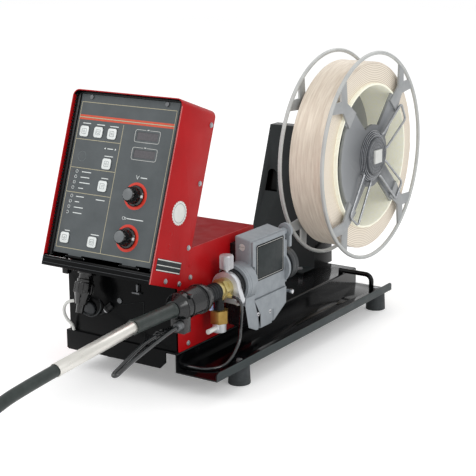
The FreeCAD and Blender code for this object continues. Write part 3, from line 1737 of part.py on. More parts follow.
def make_rolls():
    """Drive roll, idle roll, the arm that carries it, pressure screw and release lever."""
    wide = size("roll_width")
    radius = size("roll_radius")
    gap = size("running_gap")
    groove = document.addObject("Part::Torus", "Groove")
    bind(groove, "Radius1", radius)
    groove.Radius2 = 1.5
    place(groove, FEED_X, ROLL_Y, DRIVE_Z, (0, 1, 0), 90)
    node("drive_roll", cut(rod("+X", ROLL_X, ROLL_Y, DRIVE_Z, radius, wide),
                           rod("+X", ROLL_X - 1, ROLL_Y, DRIVE_Z, size("shaft_radius"), wide + 2),
                           groove))
    idle = rod("+X", ROLL_X, ROLL_Y, IDLE_Z, radius, wide)
    idle_bore = rod("+X", ROLL_X - 1, ROLL_Y, IDLE_Z, size("roll_bore") + gap, wide + 2)
    node("idle_roll", cut(idle, idle_bore))

    arm_x = ROLL_X + wide + 0.5
    thick = size("arm_plate")
    pivot_y = FRONT + size("arm_pivot_place")
    pivot_z = ARM_PIVOT_Z
    half = size("arm_width") / 2
    body = new_body("IdleArm", arm_x, 0, 0)
    outline = new_sketch(body, "YZ_Plane")
    polygon(
        outline,
        [
            (ROLL_Y, IDLE_Z - half),
            (pivot_y, pivot_z - half),
            (pivot_y, pivot_z + half),
            (ROLL_Y, IDLE_Z + half),
        ],
    )
    pad(body, outline, thick)
    ends = [
        rod("+X", arm_x, ROLL_Y, IDLE_Z, half, thick),
        rod("+X", arm_x, pivot_y, pivot_z, half, thick),
        rod("+X", ROLL_X + 1, ROLL_Y, IDLE_Z, size("roll_bore"), wide + 1),
    ]
    pivot_hole = rod("+X", arm_x - 1, pivot_y, pivot_z, size("roll_bore") + gap, thick + 2)
    node("idle_arm", cut(joined(body, *ends), pivot_hole))

    screw_front = FRONT + size("head_front") + 1.5
    head = rod("+Y", FEED_X, screw_front, PRESSURE_SCREW_Z,
               size("pressure_screw_radius"), 20)
    slot = block(FEED_X - 10, screw_front - 1, PRESSURE_SCREW_Z - 1, 20, 3, 2)
    node("pressure_screw", cut(head, slot))

    long = size("lever_thickness")
    lever_disc = rod("+Y", LEVER_X, LEVER_Y, LEVER_Z, size("lever_radius"), long)
    tail = block(LEVER_X + 4, LEVER_Y, LEVER_Z - size("lever_radius") * 2, 8, long, 22)
    pin_hole = rod("+Y", LEVER_X, LEVER_Y - 1, LEVER_Z, 4 + gap, long + 2)
    node("release_lever", cut(joined(lever_disc, tail), pin_hole))


def make_wire_guides():
    """Inlet guide with its dark disc, and the outlet tube towards the gun."""
    start = FRONT + size("boss_rear")
    tube = size("guide_radius")
    disc = rod("+Y", FEED_X, start, FEED_Z, size("guide_disc_radius"), 12)
    nose = taper("+Y", FEED_X, start + 12, FEED_Z, 14, 9, 16)
    inner = ROLL_Y + 15
    inlet = rod("+Y", FEED_X, inner, FEED_Z, tube, start - inner)
    outlet_start = FRONT + size("bushing_front") + size("bushing_thickness")
    outlet = rod("+Y", FEED_X, outlet_start, FEED_Z, tube, ROLL_Y - 15 - outlet_start)
    bore = rod("+Y", FEED_X, FRONT, FEED_Z, size("wire_bore"), size("boss_rear") + 60)
    return node("wire_guides", cut(joined(disc, nose, inlet, outlet), bore))


def gear_outline(teeth, module):
    """A spur gear's outline in its own plane: flat tips, sloped flanks and flat roots."""
    points = []
    pitch_radius = teeth * module / 2
    tip = pitch_radius + module * 0.85
    foot = pitch_radius - module * 1.15
    quarter = math.pi / teeth
    for tooth in range(int(teeth)):
        middle = 2 * math.pi * tooth / teeth
        for radius, share in ((foot, -0.6), (tip, -0.2), (tip, 0.2), (foot, 0.6)):
            angle = middle + quarter * share
            points.append((radius * math.cos(angle), radius * math.sin(angle)))
    return points


def gear_solid(teeth, x, y, z, turn):
    """A spur gear across X, turned by an angle in radians."""
    module = float(size("gear_module"))
    corners = []
    for a, b in gear_outline(teeth, module):
        ya = a * math.cos(turn) - b * math.sin(turn)
        zb = a * math.sin(turn) + b * math.cos(turn)
        corners.append(FreeCAD.Vector(float(x), float(y) + ya, float(z) + zb))
    face = Part.Face(Part.makePolygon(corners + corners[:1]))
    return face.extrude(FreeCAD.Vector(float(size("gear_width")), 0, 0))


WALL_FACE = CASE_X - size("case_sheet")
GEAR_CASE_X = WALL_FACE - size("gear_case_length")
GEAR_X = GEAR_CASE_X + 22
PINION_GAP = (size("gear_teeth") + size("pinion_teeth")) * size("gear_module") / 2
MOTOR_Y = ROLL_Y - PINION_GAP


def make_drive():
    """Motor, pinion on its shaft, gear with the drive shaft, and their case."""
    gear_radius = size("gear_teeth") * size("gear_module") / 2 + size("gear_module")
    inner_front = MOTOR_Y - size("motor_radius") * 0.7
    inner_rear = ROLL_Y + gear_radius + 1
    room = gear_radius + 1
    wall = size("gear_wall")
    outer = block(
        GEAR_CASE_X, inner_front - wall, DRIVE_Z - room - wall,
        size("gear_case_length"), inner_rear - inner_front + wall * 2, (room + wall) * 2,
    )
    hollow = block(
        GEAR_CASE_X + wall, inner_front, DRIVE_Z - room,
        size("gear_case_length") - wall * 2, inner_rear - inner_front, room * 2,
    )
    shaft_gap = size("shaft_radius") + size("running_gap")
    drive_hole = rod("+X", GEAR_CASE_X + wall, ROLL_Y, DRIVE_Z, shaft_gap, size("gear_case_length"))
    motor_hole = rod("+X", GEAR_CASE_X - 1, MOTOR_Y, DRIVE_Z, shaft_gap, wall + 2)
    node("gear_case", cut(outer, hollow, drive_hole, motor_hole))

    can = rod("+X", GEAR_CASE_X - size("motor_length"), MOTOR_Y, DRIVE_Z,
              size("motor_radius"), size("motor_length"))
    rear_bore = rod("+X", GEAR_CASE_X - size("motor_length") + 6, MOTOR_Y, DRIVE_Z,
                    shaft_gap, size("motor_length"))
    node("drive_motor", cut(can, rear_bore))

    half_pitch = math.pi / float(size("pinion_teeth"))
    pinion = gear_solid(float(size("pinion_teeth")), GEAR_X, MOTOR_Y, DRIVE_Z, half_pitch)
    shaft_start = float(GEAR_CASE_X) - float(size("motor_length")) + 12
    motor_shaft = Part.makeCylinder(
        float(size("shaft_radius")),
        float(GEAR_X) + float(size("gear_width")) + 6 - shaft_start,
        FreeCAD.Vector(shaft_start, float(MOTOR_Y), float(DRIVE_Z)),
        FreeCAD.Vector(1, 0, 0),
    )
    shape_node("motor_pinion", pinion.fuse(motor_shaft).removeSplitter())

    gear = gear_solid(float(size("gear_teeth")), GEAR_X, ROLL_Y, DRIVE_Z, math.pi)
    drive_start = float(GEAR_CASE_X) + float(size("gear_wall")) + 1
    drive_shaft = Part.makeCylinder(
        float(size("shaft_radius")),
        float(ROLL_X) + float(size("roll_width")) - drive_start,
        FreeCAD.Vector(drive_start, float(ROLL_Y), float(DRIVE_Z)),
        FreeCAD.Vector(1, 0, 0),
    )
    shape_node("drive_gear", gear.fuse(drive_shaft).removeSplitter())


def make_mount_flange():
    """The dark insulating block between the red wall and the cast head."""
    front = FRONT + size("head_front") + 4
    deep = size("head_rear") - size("head_front") - 8
    low = LOBE_BOTTOM + 10
    high = HEAD_TOP_OUTER - 10 - low
    slab = block(CASE_X, front, low, HEAD_LEFT - CASE_X, deep, high)
    hole = rod("+X", CASE_X - 1, ROLL_Y, DRIVE_Z, size("shaft_radius") + size("running_gap"),
               size("tray_width"))
    return node("mount_flange", cut(slab, hole))


# The gun cable's pieces follow each other towards the front along the feed line
BUSHING_FRONT = FRONT + size("bushing_front")
CONNECTOR_FRONT = BUSHING_FRONT - size("connector_length") - size("connector_nose")
BOOT_FRONT = CONNECTOR_FRONT - size("boot_length")
CLAMP_FRONT = BOOT_FRONT - size("clamp_length")
GRIP_FRONT = CLAMP_FRONT - size("grip_length")


def make_gun_connection():
    """Pale bushing with its lug, thumb screw, brass connector and gas valve."""
    thick = size("bushing_thickness")
    disc = rod("+Y", FEED_X, BUSHING_FRONT, FEED_Z, size("bushing_radius"), thick)
    lug = rod("+Y", FEED_X + size("lug_reach"), BUSHING_FRONT, FEED_Z - size("lug_fall"),
              size("lug_radius"), thick)
    bridge = new_body("Bridge", FEED_X, BUSHING_FRONT, FEED_Z)
    outline = new_sketch(bridge, "XZ_Plane")
    polygon(
        outline,
        [
            (size("bushing_radius") * 0.98, size("bushing_radius") * 0.1),
            (size("lug_reach") + size("lug_radius") * 0.9, -size("lug_fall") + 3),
            (size("lug_reach") - 3, -size("lug_fall") - size("lug_radius") * 0.9),
            (size("bushing_radius") * 0.1, -size("bushing_radius") * 0.98),
        ],
    )
    pad(bridge, outline, thick, back=True)
    hub_length = size("boss_front") + size("socket_depth") - size("bushing_front") - thick
    hub = rod("+Y", FEED_X, BUSHING_FRONT + thick, FEED_Z,
              size("socket_radius"), hub_length)
    stem_gap = size("thumb_stem_radius") + size("running_gap")
    stem_top = FEED_Z + size("bushing_radius")
    thumb_y = BUSHING_FRONT + thick / 2
    stem_hole = rod("+Z", FEED_X, thumb_y, stem_top - 11, stem_gap, 20)
    bore = rod("+Y", FEED_X, BUSHING_FRONT - 1, FEED_Z, size("wire_bore"), thick + 2)
    guide_room = rod("+Y", FEED_X, BUSHING_FRONT + thick, FEED_Z, size("guide_radius"),
                     hub_length + 1)
    lug_hole = rod("+Y", FEED_X + size("lug_reach"), BUSHING_FRONT - 1,
                   FEED_Z - size("lug_fall"), 3, thick + 2)
    node("gun_bushing", cut(joined(disc, lug, bridge, hub), stem_hole, bore, guide_room, lug_hole))

    stem_low = stem_top - 10
    knob_low = stem_low + size("thumb_stem")
    stem = rod("+Z", FEED_X, thumb_y, stem_low, size("thumb_stem_radius"), size("thumb_stem"))
    knob = rod("+Z", FEED_X, thumb_y, knob_low, size("thumb_radius"), size("thumb_height"))
    node("thumb_screw", joined(stem, knob))

    long = size("connector_length")
    barrel = rod("-Y", FEED_X, BUSHING_FRONT, FEED_Z, size("connector_radius"), long / 2)
    nut = document.addObject("Part::Prism", "Nut")
    nut.Polygon = 6
    bind(nut, "Circumradius", size("connector_radius") * 1.06)
    bind(nut, "Height", long / 2)
    place(nut, FEED_X, BUSHING_FRONT - long / 2, FEED_Z, (1, 0, 0), 90)
    nose = rod("-Y", FEED_X, BUSHING_FRONT - long, FEED_Z,
               size("connector_radius") * 0.8, size("connector_nose"))
    nipple = rod("+X", FEED_X + size("connector_radius") * 0.5, BUSHING_FRONT - long * 0.4,
                 FEED_Z - size("nipple_drop"), size("nipple_radius"),
                 size("nipple_reach") - size("connector_radius") * 0.5)
    wire_way = rod("-Y", FEED_X, BUSHING_FRONT + 1, FEED_Z, size("wire_bore"),
                   long + size("connector_nose") + 2)
    node("gun_connector", cut(joined(barrel, nut, nose, nipple), wire_way))

    valve_y = FRONT + size("valve_place")
    low = size("valve_bottom")
    high = size("valve_height")
    cap = document.addObject("Part::Prism", "Valve")
    cap.Polygon = 6
    bind(cap, "Circumradius", size("valve_radius"))
    bind(cap, "Height", high)
    place(cap, FEED_X, valve_y, low)
    nut_high = size("valve_nut_height")
    neck = rod("+Z", FEED_X, valve_y, low + high, size("valve_radius") / 2,
               FEED_Z - size("connector_radius") * 0.75 - low - high)
    nut_low = rod("+Z", FEED_X, valve_y, low - nut_high, size("valve_radius") * 0.72, nut_high)
    barb = rod("-Y", FEED_X, valve_y, low - nut_high / 2, size("barb_radius"),
               size("barb_length"))
    stop = rod("-Y", FEED_X, valve_y, low - nut_high / 2, size("barb_stop_radius"),
               size("barb_stop_length"))
    node("gas_valve", joined(cap, neck, nut_low, stop, barb))


def ribbed_outline(radius, rib, length, pitch, inner):
    """Half-outline (radius, place) of a ribbed rubber sleeve, for one turn about its axis."""
    points = [(inner, dim(0)), (radius, dim(0))]
    count = int(length.value / pitch)
    for i in range(count):
        start = length / count * i
        points += [
            (radius, start + pitch * 0.25),
            (radius + rib, start + pitch * 0.4),
            (radius + rib, start + pitch * 0.6),
            (radius, start + pitch * 0.75),
        ]
    points += [(radius, length), (inner, length)]
    return points


def make_gun_cable_pieces():
    """Ribbed boot and clamp, ribbed grip and the bright sleeve."""
    boot = new_body("Boot", FEED_X, CONNECTOR_FRONT, FEED_Z, (1, 0, 0), 90)
    outline = new_sketch(boot, "XZ_Plane")
    polygon(outline, ribbed_outline(size("boot_radius"), size("boot_rib"),
                                    size("boot_length"), 7.3, dim(0)))
    turned(boot, outline)
    clamp = rod("-Y", FEED_X, BOOT_FRONT, FEED_Z, size("clamp_radius"), size("clamp_length") - 14)
    shoulder = taper("-Y", FEED_X, BOOT_FRONT - size("clamp_length") + 14, FEED_Z,
                     size("clamp_radius"), size("grip_radius") + 2, 14)
    collar = rod("-Y", FEED_X, BOOT_FRONT - 8, FEED_Z, size("clamp_radius") + 2, 7)
    clip_front = BOOT_FRONT - size("clamp_length") * 0.95
    clip = block(FEED_X - 8, clip_front, FEED_Z - 42, 28, 20, 27)
    plug = rod("-Y", FEED_X - 2, clip_front, FEED_Z - 34.5, 5.5, 52.4)
    rings = [
        rod("-Y", FEED_X - 2, clip_front - back, FEED_Z - 34.5, 7.5, 4) for back in (30, 41)
    ]
    node("boot_clamp", joined(clamp, shoulder, collar, clip, plug, *rings))

    grip = new_body("Grip", FEED_X, CLAMP_FRONT, FEED_Z, (1, 0, 0), 90)
    grip_outline = new_sketch(grip, "XZ_Plane")
    polygon(grip_outline, ribbed_outline(size("grip_radius") - 0.8, dim(0.8),
                                         size("grip_length"), 5.6, dim(0)))
    turned(grip, grip_outline)
    node("cable_boots", joined(boot, grip))

    sleeve = new_body("Sleeve", FEED_X, GRIP_FRONT, FEED_Z, (1, 0, 0),
                      size("sleeve_droop") + 90)
    profile = new_sketch(sleeve, "XZ_Plane")
    mouth = size("sleeve_length") - size("sleeve_mouth")
    inner = size("cable_radius") + size("cord_clearance")
    polygon(
        profile,
        [
            (0, 0),
            (size("sleeve_radius"), 0),
            (size("sleeve_radius"), size("sleeve_length")),
            (inner, size("sleeve_length")),
            (inner, mouth),
            (0, mouth),
        ],
    )
    turned(sleeve, profile)
    node("cable_sleeve", sleeve)


def make_control_plug():
    """The round cable plug hanging from the case's underside."""
    x = -size("plug_place")
    depth = size("plug_depth")
    rise = -size("rail_height")
    stack = (
        (17, 17, 4),
        (13, 13, 9),
        (15, 15, 6),
        (17.5, 17.5, 20),
        (16, 11, 20),
        (8, 7, 16),
    )
    pieces = []
    for start_radius, end_radius, length in stack:
        piece = document.addObject("Part::Cone", "Taper")
        bind(piece, "Radius1", start_radius)
        bind(piece, "Radius2", end_radius + 0.01)
        bind(piece, "Height", length)
        pieces.append(on_case(piece, x, depth, rise, 180))
        rise = rise - length
    return node("control_plug", joined(*pieces))


# Routes of the loose cords, as points chosen by hand from the stand's datum
GUN_CABLE_ROUTE = [
    (-58, -328.5, 162.74),
    (-58, -399.8, 157.13),
    (-58.5, -486, 146.5),
    (-60, -558, 116),
    (-62, -615, 74),
    (-64, -668, 42),
    (-65.2, -718, 31.9),
    (-66.3, -758, 31.3),
]
TRIGGER_LEAD_ROUTE = [
    (-44, -43.6, 150),
    (-44.3, -71, 147),
    (-45, -103, 140),
    (-45.5, -138, 132.3),
    (-46, -172, 124),
    (-46.5, -200, 115.5),
    (-47, -216, 110),
    (-63, -216, 110),
    (-62.5, -200, 114),
    (-62, -176, 123),
    (-61.5, -150, 132),
    (-61, -123, 139),
    (-60, -96, 141.5),
]
SENSE_LEAD_ROUTE = [
    (-36, 104, 164),
    (-27.5, 104, 163.5),
    (-20.5, 104, 159.5),
    (-17, 104.5, 152),
    (-17.5, 106, 141),
    (-21, 110, 127),
    (-26, 116, 113),
    (-29, 119, 99),
    (-27, 114, 81),
    (-25, 98, 67),
    (-23.5, 78, 54.5),
    (-26, 56, 46.8),
    (-40, 36, 45.8),
    (-62, 26, 46),
    (-87, 24, 48),
]
GAS_TUBE_ROUTE = [
    (-301.5, -13, 143),
    (-315, -13, 141.5),
    (-330, -13, 134),
    (-337, -12, 118),
    (-333, -8, 101),
    (-325, -1, 90),
    (-324, 0.9, 78.8),
]


def make_coil_and_gun(start):
    """The cable's put-away coil in two layers, and the gun that lies at its end."""
    radius = float(size("cable_radius"))
    pitch = float(size("loop_pitch"))
    reverse = 1.25
    outer = float(size("loop_radius")) + pitch * reverse / 2
    low = float(size("loop_lift"))
    high = low + pitch
    slant = pitch / (2 * math.pi * outer)
    lead = radius * 2
    begin = start + FreeCAD.Vector(-slant, -1, 0).normalize() * lead
    centre = FreeCAD.Vector(begin.x - outer, begin.y, 0)

    def point(turn):
        reach = outer - pitch * (reverse - abs(turn - reverse))
        share = min(1, max(0, (turn - reverse + 0.25) / 0.5))
        height = low + (high - low) * (1 + math.cos(math.pi * share)) / 2
        angle = -2 * math.pi * turn
        return centre + FreeCAD.Vector(
            reach * math.cos(angle), reach * math.sin(angle), height
        )

    def way(turn):
        return (point(turn + 0.001) - point(turn - 0.001)).normalize()

    edges = wound(point, way, [step / 4 for step in range(11)], lead)
    length = sum(edge.Length for edge in edges)
    print(f"cable coil: length {length:.0f} mm, least gap {least_gap(edges, radius * 2):.2f} mm")
    shape_node("cable_coil", tube_along(edges, radius))
    end = point(reverse * 2) + way(reverse * 2) * lead
    turn = math.degrees(math.atan2(-way(reverse * 2).x, way(reverse * 2).y))
    make_gun(end, turn)


def make_gun(end, turn):
    """The gun on its side on the floor: grip, bent neck, nozzle and sprung trigger."""
    cable = float(size("cable_radius"))
    grip = float(size("gun_grip_radius"))
    long = float(size("gun_grip_length"))
    neck = float(size("gun_neck_radius"))
    rise = grip - cable
    stations = ((0, cable), (72, grip - 3), (92, grip), (long, grip - 1))
    circles = []
    for along_gun, radius in stations:
        centre = FreeCAD.Vector(0, along_gun, radius - cable)
        circles.append(Part.Wire([Part.makeCircle(radius, centre, FreeCAD.Vector(0, 1, 0))]))
    handle = Part.makeLoft(circles, True, True)
    axis = FreeCAD.Vector(0, 1, 0)
    nut = Part.makeCylinder(grip - 6, 14, FreeCAD.Vector(0, long, rise - 1), axis)
    bend = float(size("gun_neck_bend"))
    corner = FreeCAD.Vector(0, long + 14 + bend * 0.8, rise - 1)
    out = FreeCAD.Vector(math.sin(math.radians(52)), math.cos(math.radians(52)), 0)
    tip = corner + out * (bend * 0.5 + 34)
    tube = tube_along(
        rounded_path([FreeCAD.Vector(0, long, rise - 1), corner, tip], [bend]), neck
    )
    nozzle_radius = float(size("gun_nozzle_radius"))
    nozzle_long = float(size("gun_nozzle_length"))
    insulator = Part.makeCylinder(nozzle_radius + 1.5, 16, tip - out * 8, out)
    nozzle = Part.makeCylinder(nozzle_radius, nozzle_long, tip + out * 8, out)
    mouth = Part.makeCylinder(nozzle_radius - 2, nozzle_long, tip + out * 14, out)
    contact = Part.makeCylinder(3, nozzle_long - 6, tip + out * 8, out)
    width = float(size("trigger_width"))
    trigger_long = float(size("trigger_length"))
    pivot = FreeCAD.Vector(grip - 7, long - 22, rise - 0.5)
    room = Part.makeBox(
        grip, trigger_long + 9, width + 1,
        FreeCAD.Vector(pivot.x - 6, pivot.y - trigger_long - 3, pivot.z - width / 2 - 0.5),
    )
    pin = Part.makeCylinder(2, width + 5, pivot - FreeCAD.Vector(0, 0, width / 2 + 2.5))
    body = handle.fuse([nut, tube, insulator]).cut(room).fuse([pin, nozzle.cut(mouth), contact])
    reach = float(size("trigger_reach"))
    lever = Part.makePolygon(
        [
            FreeCAD.Vector(pivot.x + x, pivot.y + y, pivot.z - width / 2)
            for x, y in (
                (-4, 3),
                (-3, -trigger_long * 0.5),
                (1, -trigger_long),
                (7 + reach, -trigger_long + 2),
                (7 + reach * 0.4, -trigger_long * 0.55),
                (6 + reach * 0.2, 3),
                (-4, 3),
            )
        ]
    )
    blade = Part.Face(lever).extrude(FreeCAD.Vector(0, 0, width))
    hole = Part.makeCylinder(2.06, width + 2, pivot - FreeCAD.Vector(0, 0, width / 2 + 1))
    trigger = blade.cut(hole)
    turned_gun = FreeCAD.Placement(end, FreeCAD.Rotation(FreeCAD.Vector(0, 0, 1), turn))
    for name, shape in (("welding_gun", body), ("gun_trigger", trigger)):
        item = shape_node(name, shape.removeSplitter())
        item.Placement = turned_gun
    pivot_place = turned_gun.multVec(pivot)
    print(f"gun trigger pivot {pivot_place.x:.2f} {pivot_place.y:.2f} {pivot_place.z:.2f}")


def make_cords():
    """Gun cable, trigger lead, sense lead and gas tube."""
    cord("gun_cable", GUN_CABLE_ROUTE, float(size("cable_radius")))
    make_coil_and_gun(datum(*GUN_CABLE_ROUTE[-1]))
    cord("trigger_lead", TRIGGER_LEAD_ROUTE, float(size("trigger_lead_radius")))
    cord("sense_lead", SENSE_LEAD_ROUTE, float(size("lead_radius")))
    cord("gas_tube", GAS_TUBE_ROUTE, float(size("tube_radius")))


make_base_frame()
make_feet_and_bolts()
make_front_plate()
make_rear_handle()
make_reel_mast()
make_spindle()
COIL_LEFT = make_reel()
make_wire_layer(COIL_LEFT)
make_wire_clips()
make_case_shell()
make_rear_cover()
make_case_floor()
make_case_screws()
make_front_panel()
make_panel_lenses()
make_keys()
make_knobs()
make_control_board()
make_feed_housing()
make_feed_door()
make_hinge_pins()
make_rolls()
make_wire_guides()
make_drive()
make_mount_flange()
make_gun_connection()
make_gun_cable_pieces()
make_control_plug()
make_cords()
document.recompute()

faults = [
    f"{item.Label}: {item.State}"
    for item in document.Objects
    if {"Invalid", "Error"} & set(item.State)
]
for name, item in NODES.items():
    if item.Shape.isNull() or not item.Shape.isValid() or not item.Shape.Solids:
        faults.append(f"{name}: no valid solid")
if faults:
    raise RuntimeError("; ".join(faults))

os.makedirs("parts", exist_ok=True)
for name, item in NODES.items():
    item.Shape.exportStep(os.path.join("parts", f"{name}.step"))
    bounds = item.Shape.BoundBox
    print(
        f"{name}: {len(item.Shape.Solids)} solids, {item.Shape.Volume / 1000:.1f} cm3, "
        f"X {bounds.XMin:.1f} {bounds.XMax:.1f} Y {bounds.YMin:.1f} {bounds.YMax:.1f} "
        f"Z {bounds.ZMin:.1f} {bounds.ZMax:.1f}"
    )
print(len(NODES), "nodes")
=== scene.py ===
"""Looks of a wire feeder on its bench stand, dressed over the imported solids."""

import logging
import math
from dataclasses import dataclass
from enum import Enum
from typing import Callable, Sequence

import bpy
from mathutils import Matrix, Vector


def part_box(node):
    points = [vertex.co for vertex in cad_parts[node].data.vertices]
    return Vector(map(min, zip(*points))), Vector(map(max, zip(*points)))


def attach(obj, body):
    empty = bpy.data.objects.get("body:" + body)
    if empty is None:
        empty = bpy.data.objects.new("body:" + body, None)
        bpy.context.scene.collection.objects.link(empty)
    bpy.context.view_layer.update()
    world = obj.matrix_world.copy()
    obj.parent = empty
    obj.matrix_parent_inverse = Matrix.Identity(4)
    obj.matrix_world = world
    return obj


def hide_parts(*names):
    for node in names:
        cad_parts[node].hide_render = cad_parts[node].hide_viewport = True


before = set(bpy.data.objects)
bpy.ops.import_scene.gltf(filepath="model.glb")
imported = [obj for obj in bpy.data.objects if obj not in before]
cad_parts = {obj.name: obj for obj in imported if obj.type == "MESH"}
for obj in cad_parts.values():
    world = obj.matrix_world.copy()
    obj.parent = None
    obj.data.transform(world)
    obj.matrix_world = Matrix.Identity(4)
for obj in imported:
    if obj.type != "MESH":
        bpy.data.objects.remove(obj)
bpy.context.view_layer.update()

log = logging.getLogger("wire_feeder")

Item = bpy.types.Object
Socket = bpy.types.NodeSocket
Point = Sequence[float]
Flat = Sequence[tuple[float, float]]

# Modelling is done in millimetres; a finished piece is brought to metres
METRE = Matrix.Scale(0.001, 4)
MILLIMETRE = Matrix.Scale(1000.0, 4)
HERE = Matrix.Identity(4)

# The stand's datum: right flange face, front end and floor
RIGHT = 169.5
FRONT = -393.0457
LEAN = math.radians(19.5)
CASE_X = RIGHT - 87.0
CASE_Y = FRONT - 67.1
CASE_Z = 240.0
CASE_FRAME = Matrix.Translation((CASE_X, CASE_Y, CASE_Z)) @ Matrix.Rotation(-LEAN, 4, "X")
CASE_WIDE = 244.0
CASE_HIGH = 305.0
UPRIGHT = Matrix.Rotation(math.pi / 2, 4, "X")
FEED_X = RIGHT - 58.0
FEED_Z = 176.0
REEL_Y = FRONT + 640.2
REEL_Z = 333.7


class Way(Enum):
    """Directions that pieces point in."""

    RIGHT = (1.0, 0.0, 0.0)
    LEFT = (-1.0, 0.0, 0.0)
    BACK = (0.0, 1.0, 0.0)
    FRONT = (0.0, -1.0, 0.0)
    UP = (0.0, 0.0, 1.0)


def stand_point(x: float, y: float, z: float) -> Vector:
    """A point given from the stand's datum, in the part's frame, in millimetres."""
    return Vector((RIGHT + x, FRONT + y, z))


def corners(node: str) -> tuple[Vector, Vector]:
    """The lowest and highest corner of a CAD node, in millimetres."""
    low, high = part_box(node)
    return low * 1000, high * 1000


def linear(red: int, green: int, blue: int) -> tuple[float, float, float, float]:
    """A colour as the shader takes it.

    Args:
        red: 0 to 255.
        green: 0 to 255.
        blue: 0 to 255.

    Returns:
        The linear colour with its alpha.
    """
    shares = (channel / 255 for channel in (red, green, blue))
    turned = [s / 12.92 if s <= 0.04045 else ((s + 0.055) / 1.055) ** 2.4 for s in shares]
    return (*turned, 1.0)


# ---- Materials ----


class Recipe:
    """A node material under construction."""

    def __init__(self, name: str) -> None:
        """Start an empty material.

        Args:
            name: the material's name.
        """
        self.material = bpy.data.materials.new(name)
        self.material.use_nodes = True
        self.nodes = self.material.node_tree.nodes
        self.links = self.material.node_tree.links
        self.shader = self.nodes["Principled BSDF"]
        self.place = self.nodes.new("ShaderNodeTexCoord").outputs["Object"]

    def set(self, socket: str, value: object) -> None:
        """Set a plain value on the shader's own socket."""
        self.shader.inputs[socket].default_value = value

    def feed(self, socket: str, source: Socket) -> None:
        """Join a pattern to one of the shader's sockets."""
        self.links.new(source, self.shader.inputs[socket])

    def mapped(self, scale: Point, offset: Point = (0, 0, 0)) -> Socket:
        """The piece's own coordinates, stretched and moved.

        Args:
            scale: stretch along each axis.
            offset: metres added after the stretch.

        Returns:
            The mapped vector's socket.
        """
        node = self.nodes.new("ShaderNodeMapping")
        node.inputs["Location"].default_value = offset
        node.inputs["Scale"].default_value = scale
        self.links.new(self.place, node.inputs["Vector"])
        return node.outputs["Vector"]

    def noise(self, scale: float, detail: float = 3.0, stretch: Point = (1, 1, 1)) -> Socket:
        """A cloudy pattern.

        Args:
            scale: how many clouds to a metre.
            detail: how many finer layers.
            stretch: extra scale along each axis.

        Returns:
            The pattern's socket, 0 to 1.
        """
        node = self.nodes.new("ShaderNodeTexNoise")
        node.inputs["Scale"].default_value = scale
        node.inputs["Detail"].default_value = detail
        self.links.new(self.mapped(stretch), node.inputs["Vector"])
        return node.outputs["Fac"]

    def between(self, factor: Socket, low: float, high: float) -> Socket:
        """A pattern brought from 0.3..0.7 to a range of values.

        Args:
            factor: the pattern.
            low: the value at 0.3.
            high: the value at 0.7.

        Returns:
            The value's socket.
        """
        node = self.nodes.new("ShaderNodeMapRange")
        for name, value in zip(("From Min", "From Max", "To Min", "To Max"), (0.3, 0.7, low, high)):
            node.inputs[name].default_value = value
        self.links.new(factor, node.inputs["Value"])
        return node.outputs["Result"]

    def tones(self, factor: Socket, stops: Sequence[tuple[float, Point]]) -> Socket:
        """Colours along a pattern.

        Args:
            factor: the pattern.
            stops: places from 0 to 1, each with its colour.

        Returns:
            The colour's socket.
        """
        node = self.nodes.new("ShaderNodeValToRGB")
        ramp = node.color_ramp
        ramp.elements[0].position, ramp.elements[0].color = stops[0]
        ramp.elements[1].position, ramp.elements[1].color = stops[-1]
        for position, colour in stops[1:-1]:
            ramp.elements.new(position).color = colour
        self.links.new(factor, node.inputs["Fac"])
        return node.outputs["Color"]

    def relief(self, height: Socket, strength: float, depth: float) -> None:
        """Bumps from a pattern.

        Args:
            height: the pattern.
            strength: 0 to 1.
            depth: metres between low and high.
        """
        node = self.nodes.new("ShaderNodeBump")
        node.inputs["Strength"].default_value = strength
        node.inputs["Distance"].default_value = depth
        self.links.new(height, node.inputs["Height"])
        self.links.new(node.outputs["Normal"], self.shader.inputs["Normal"])


MADE: dict[str, bpy.types.Material] = {}


@dataclass(frozen=True)
class Finish:
    """A surface: two close tones, its sheen and its fine relief."""

    name: str
    tone: tuple[int, int, int]
    shade: tuple[int, int, int]
    slot: str
    roughness: tuple[float, float] = (0.35, 0.5)
    metallic: float = 0.0
    clouds: float = 40.0
    grain: float = 900.0
    relief: float = 0.15
    depth: float = 0.0001
    stretch: tuple[float, float, float] = (1.0, 1.0, 1.0)
    coat: float = 0.0
    specular: float = 0.5
    painted_glow: float = 0.0

    def material(self) -> bpy.types.Material:
        """The finish as a material, made once.

        Returns:
            The material.
        """
        if self.name not in MADE:
            recipe = Recipe(self.name)
            self.cook(recipe)
            MADE[self.name] = recipe.material
        return MADE[self.name]

    def cook(self, recipe: Recipe) -> None:
        """Fill in the colour, the roughness and the relief.

        Args:
            recipe: the material under construction.
        """
        recipe.set("Metallic", self.metallic)
        recipe.set("Coat Weight", self.coat)
        recipe.set("Coat Roughness", 0.08)
        recipe.set("Specular IOR Level", self.specular)
        cloud = recipe.noise(self.clouds, 4.0, self.stretch)
        stops = [(0.3, linear(*self.shade)), (0.7, linear(*self.tone))]
        recipe.feed("Base Color", recipe.tones(cloud, stops))
        # Emission in the finish's own tone is painted light, a surface lit from within.
        recipe.set("Emission Color", linear(*self.tone))
        recipe.set("Emission Strength", self.painted_glow)
        sheen = recipe.noise(self.clouds * 3, 2.0)
        recipe.feed("Roughness", recipe.between(sheen, *self.roughness))
        recipe.relief(recipe.noise(self.grain, 2.0, self.stretch), self.relief, self.depth)


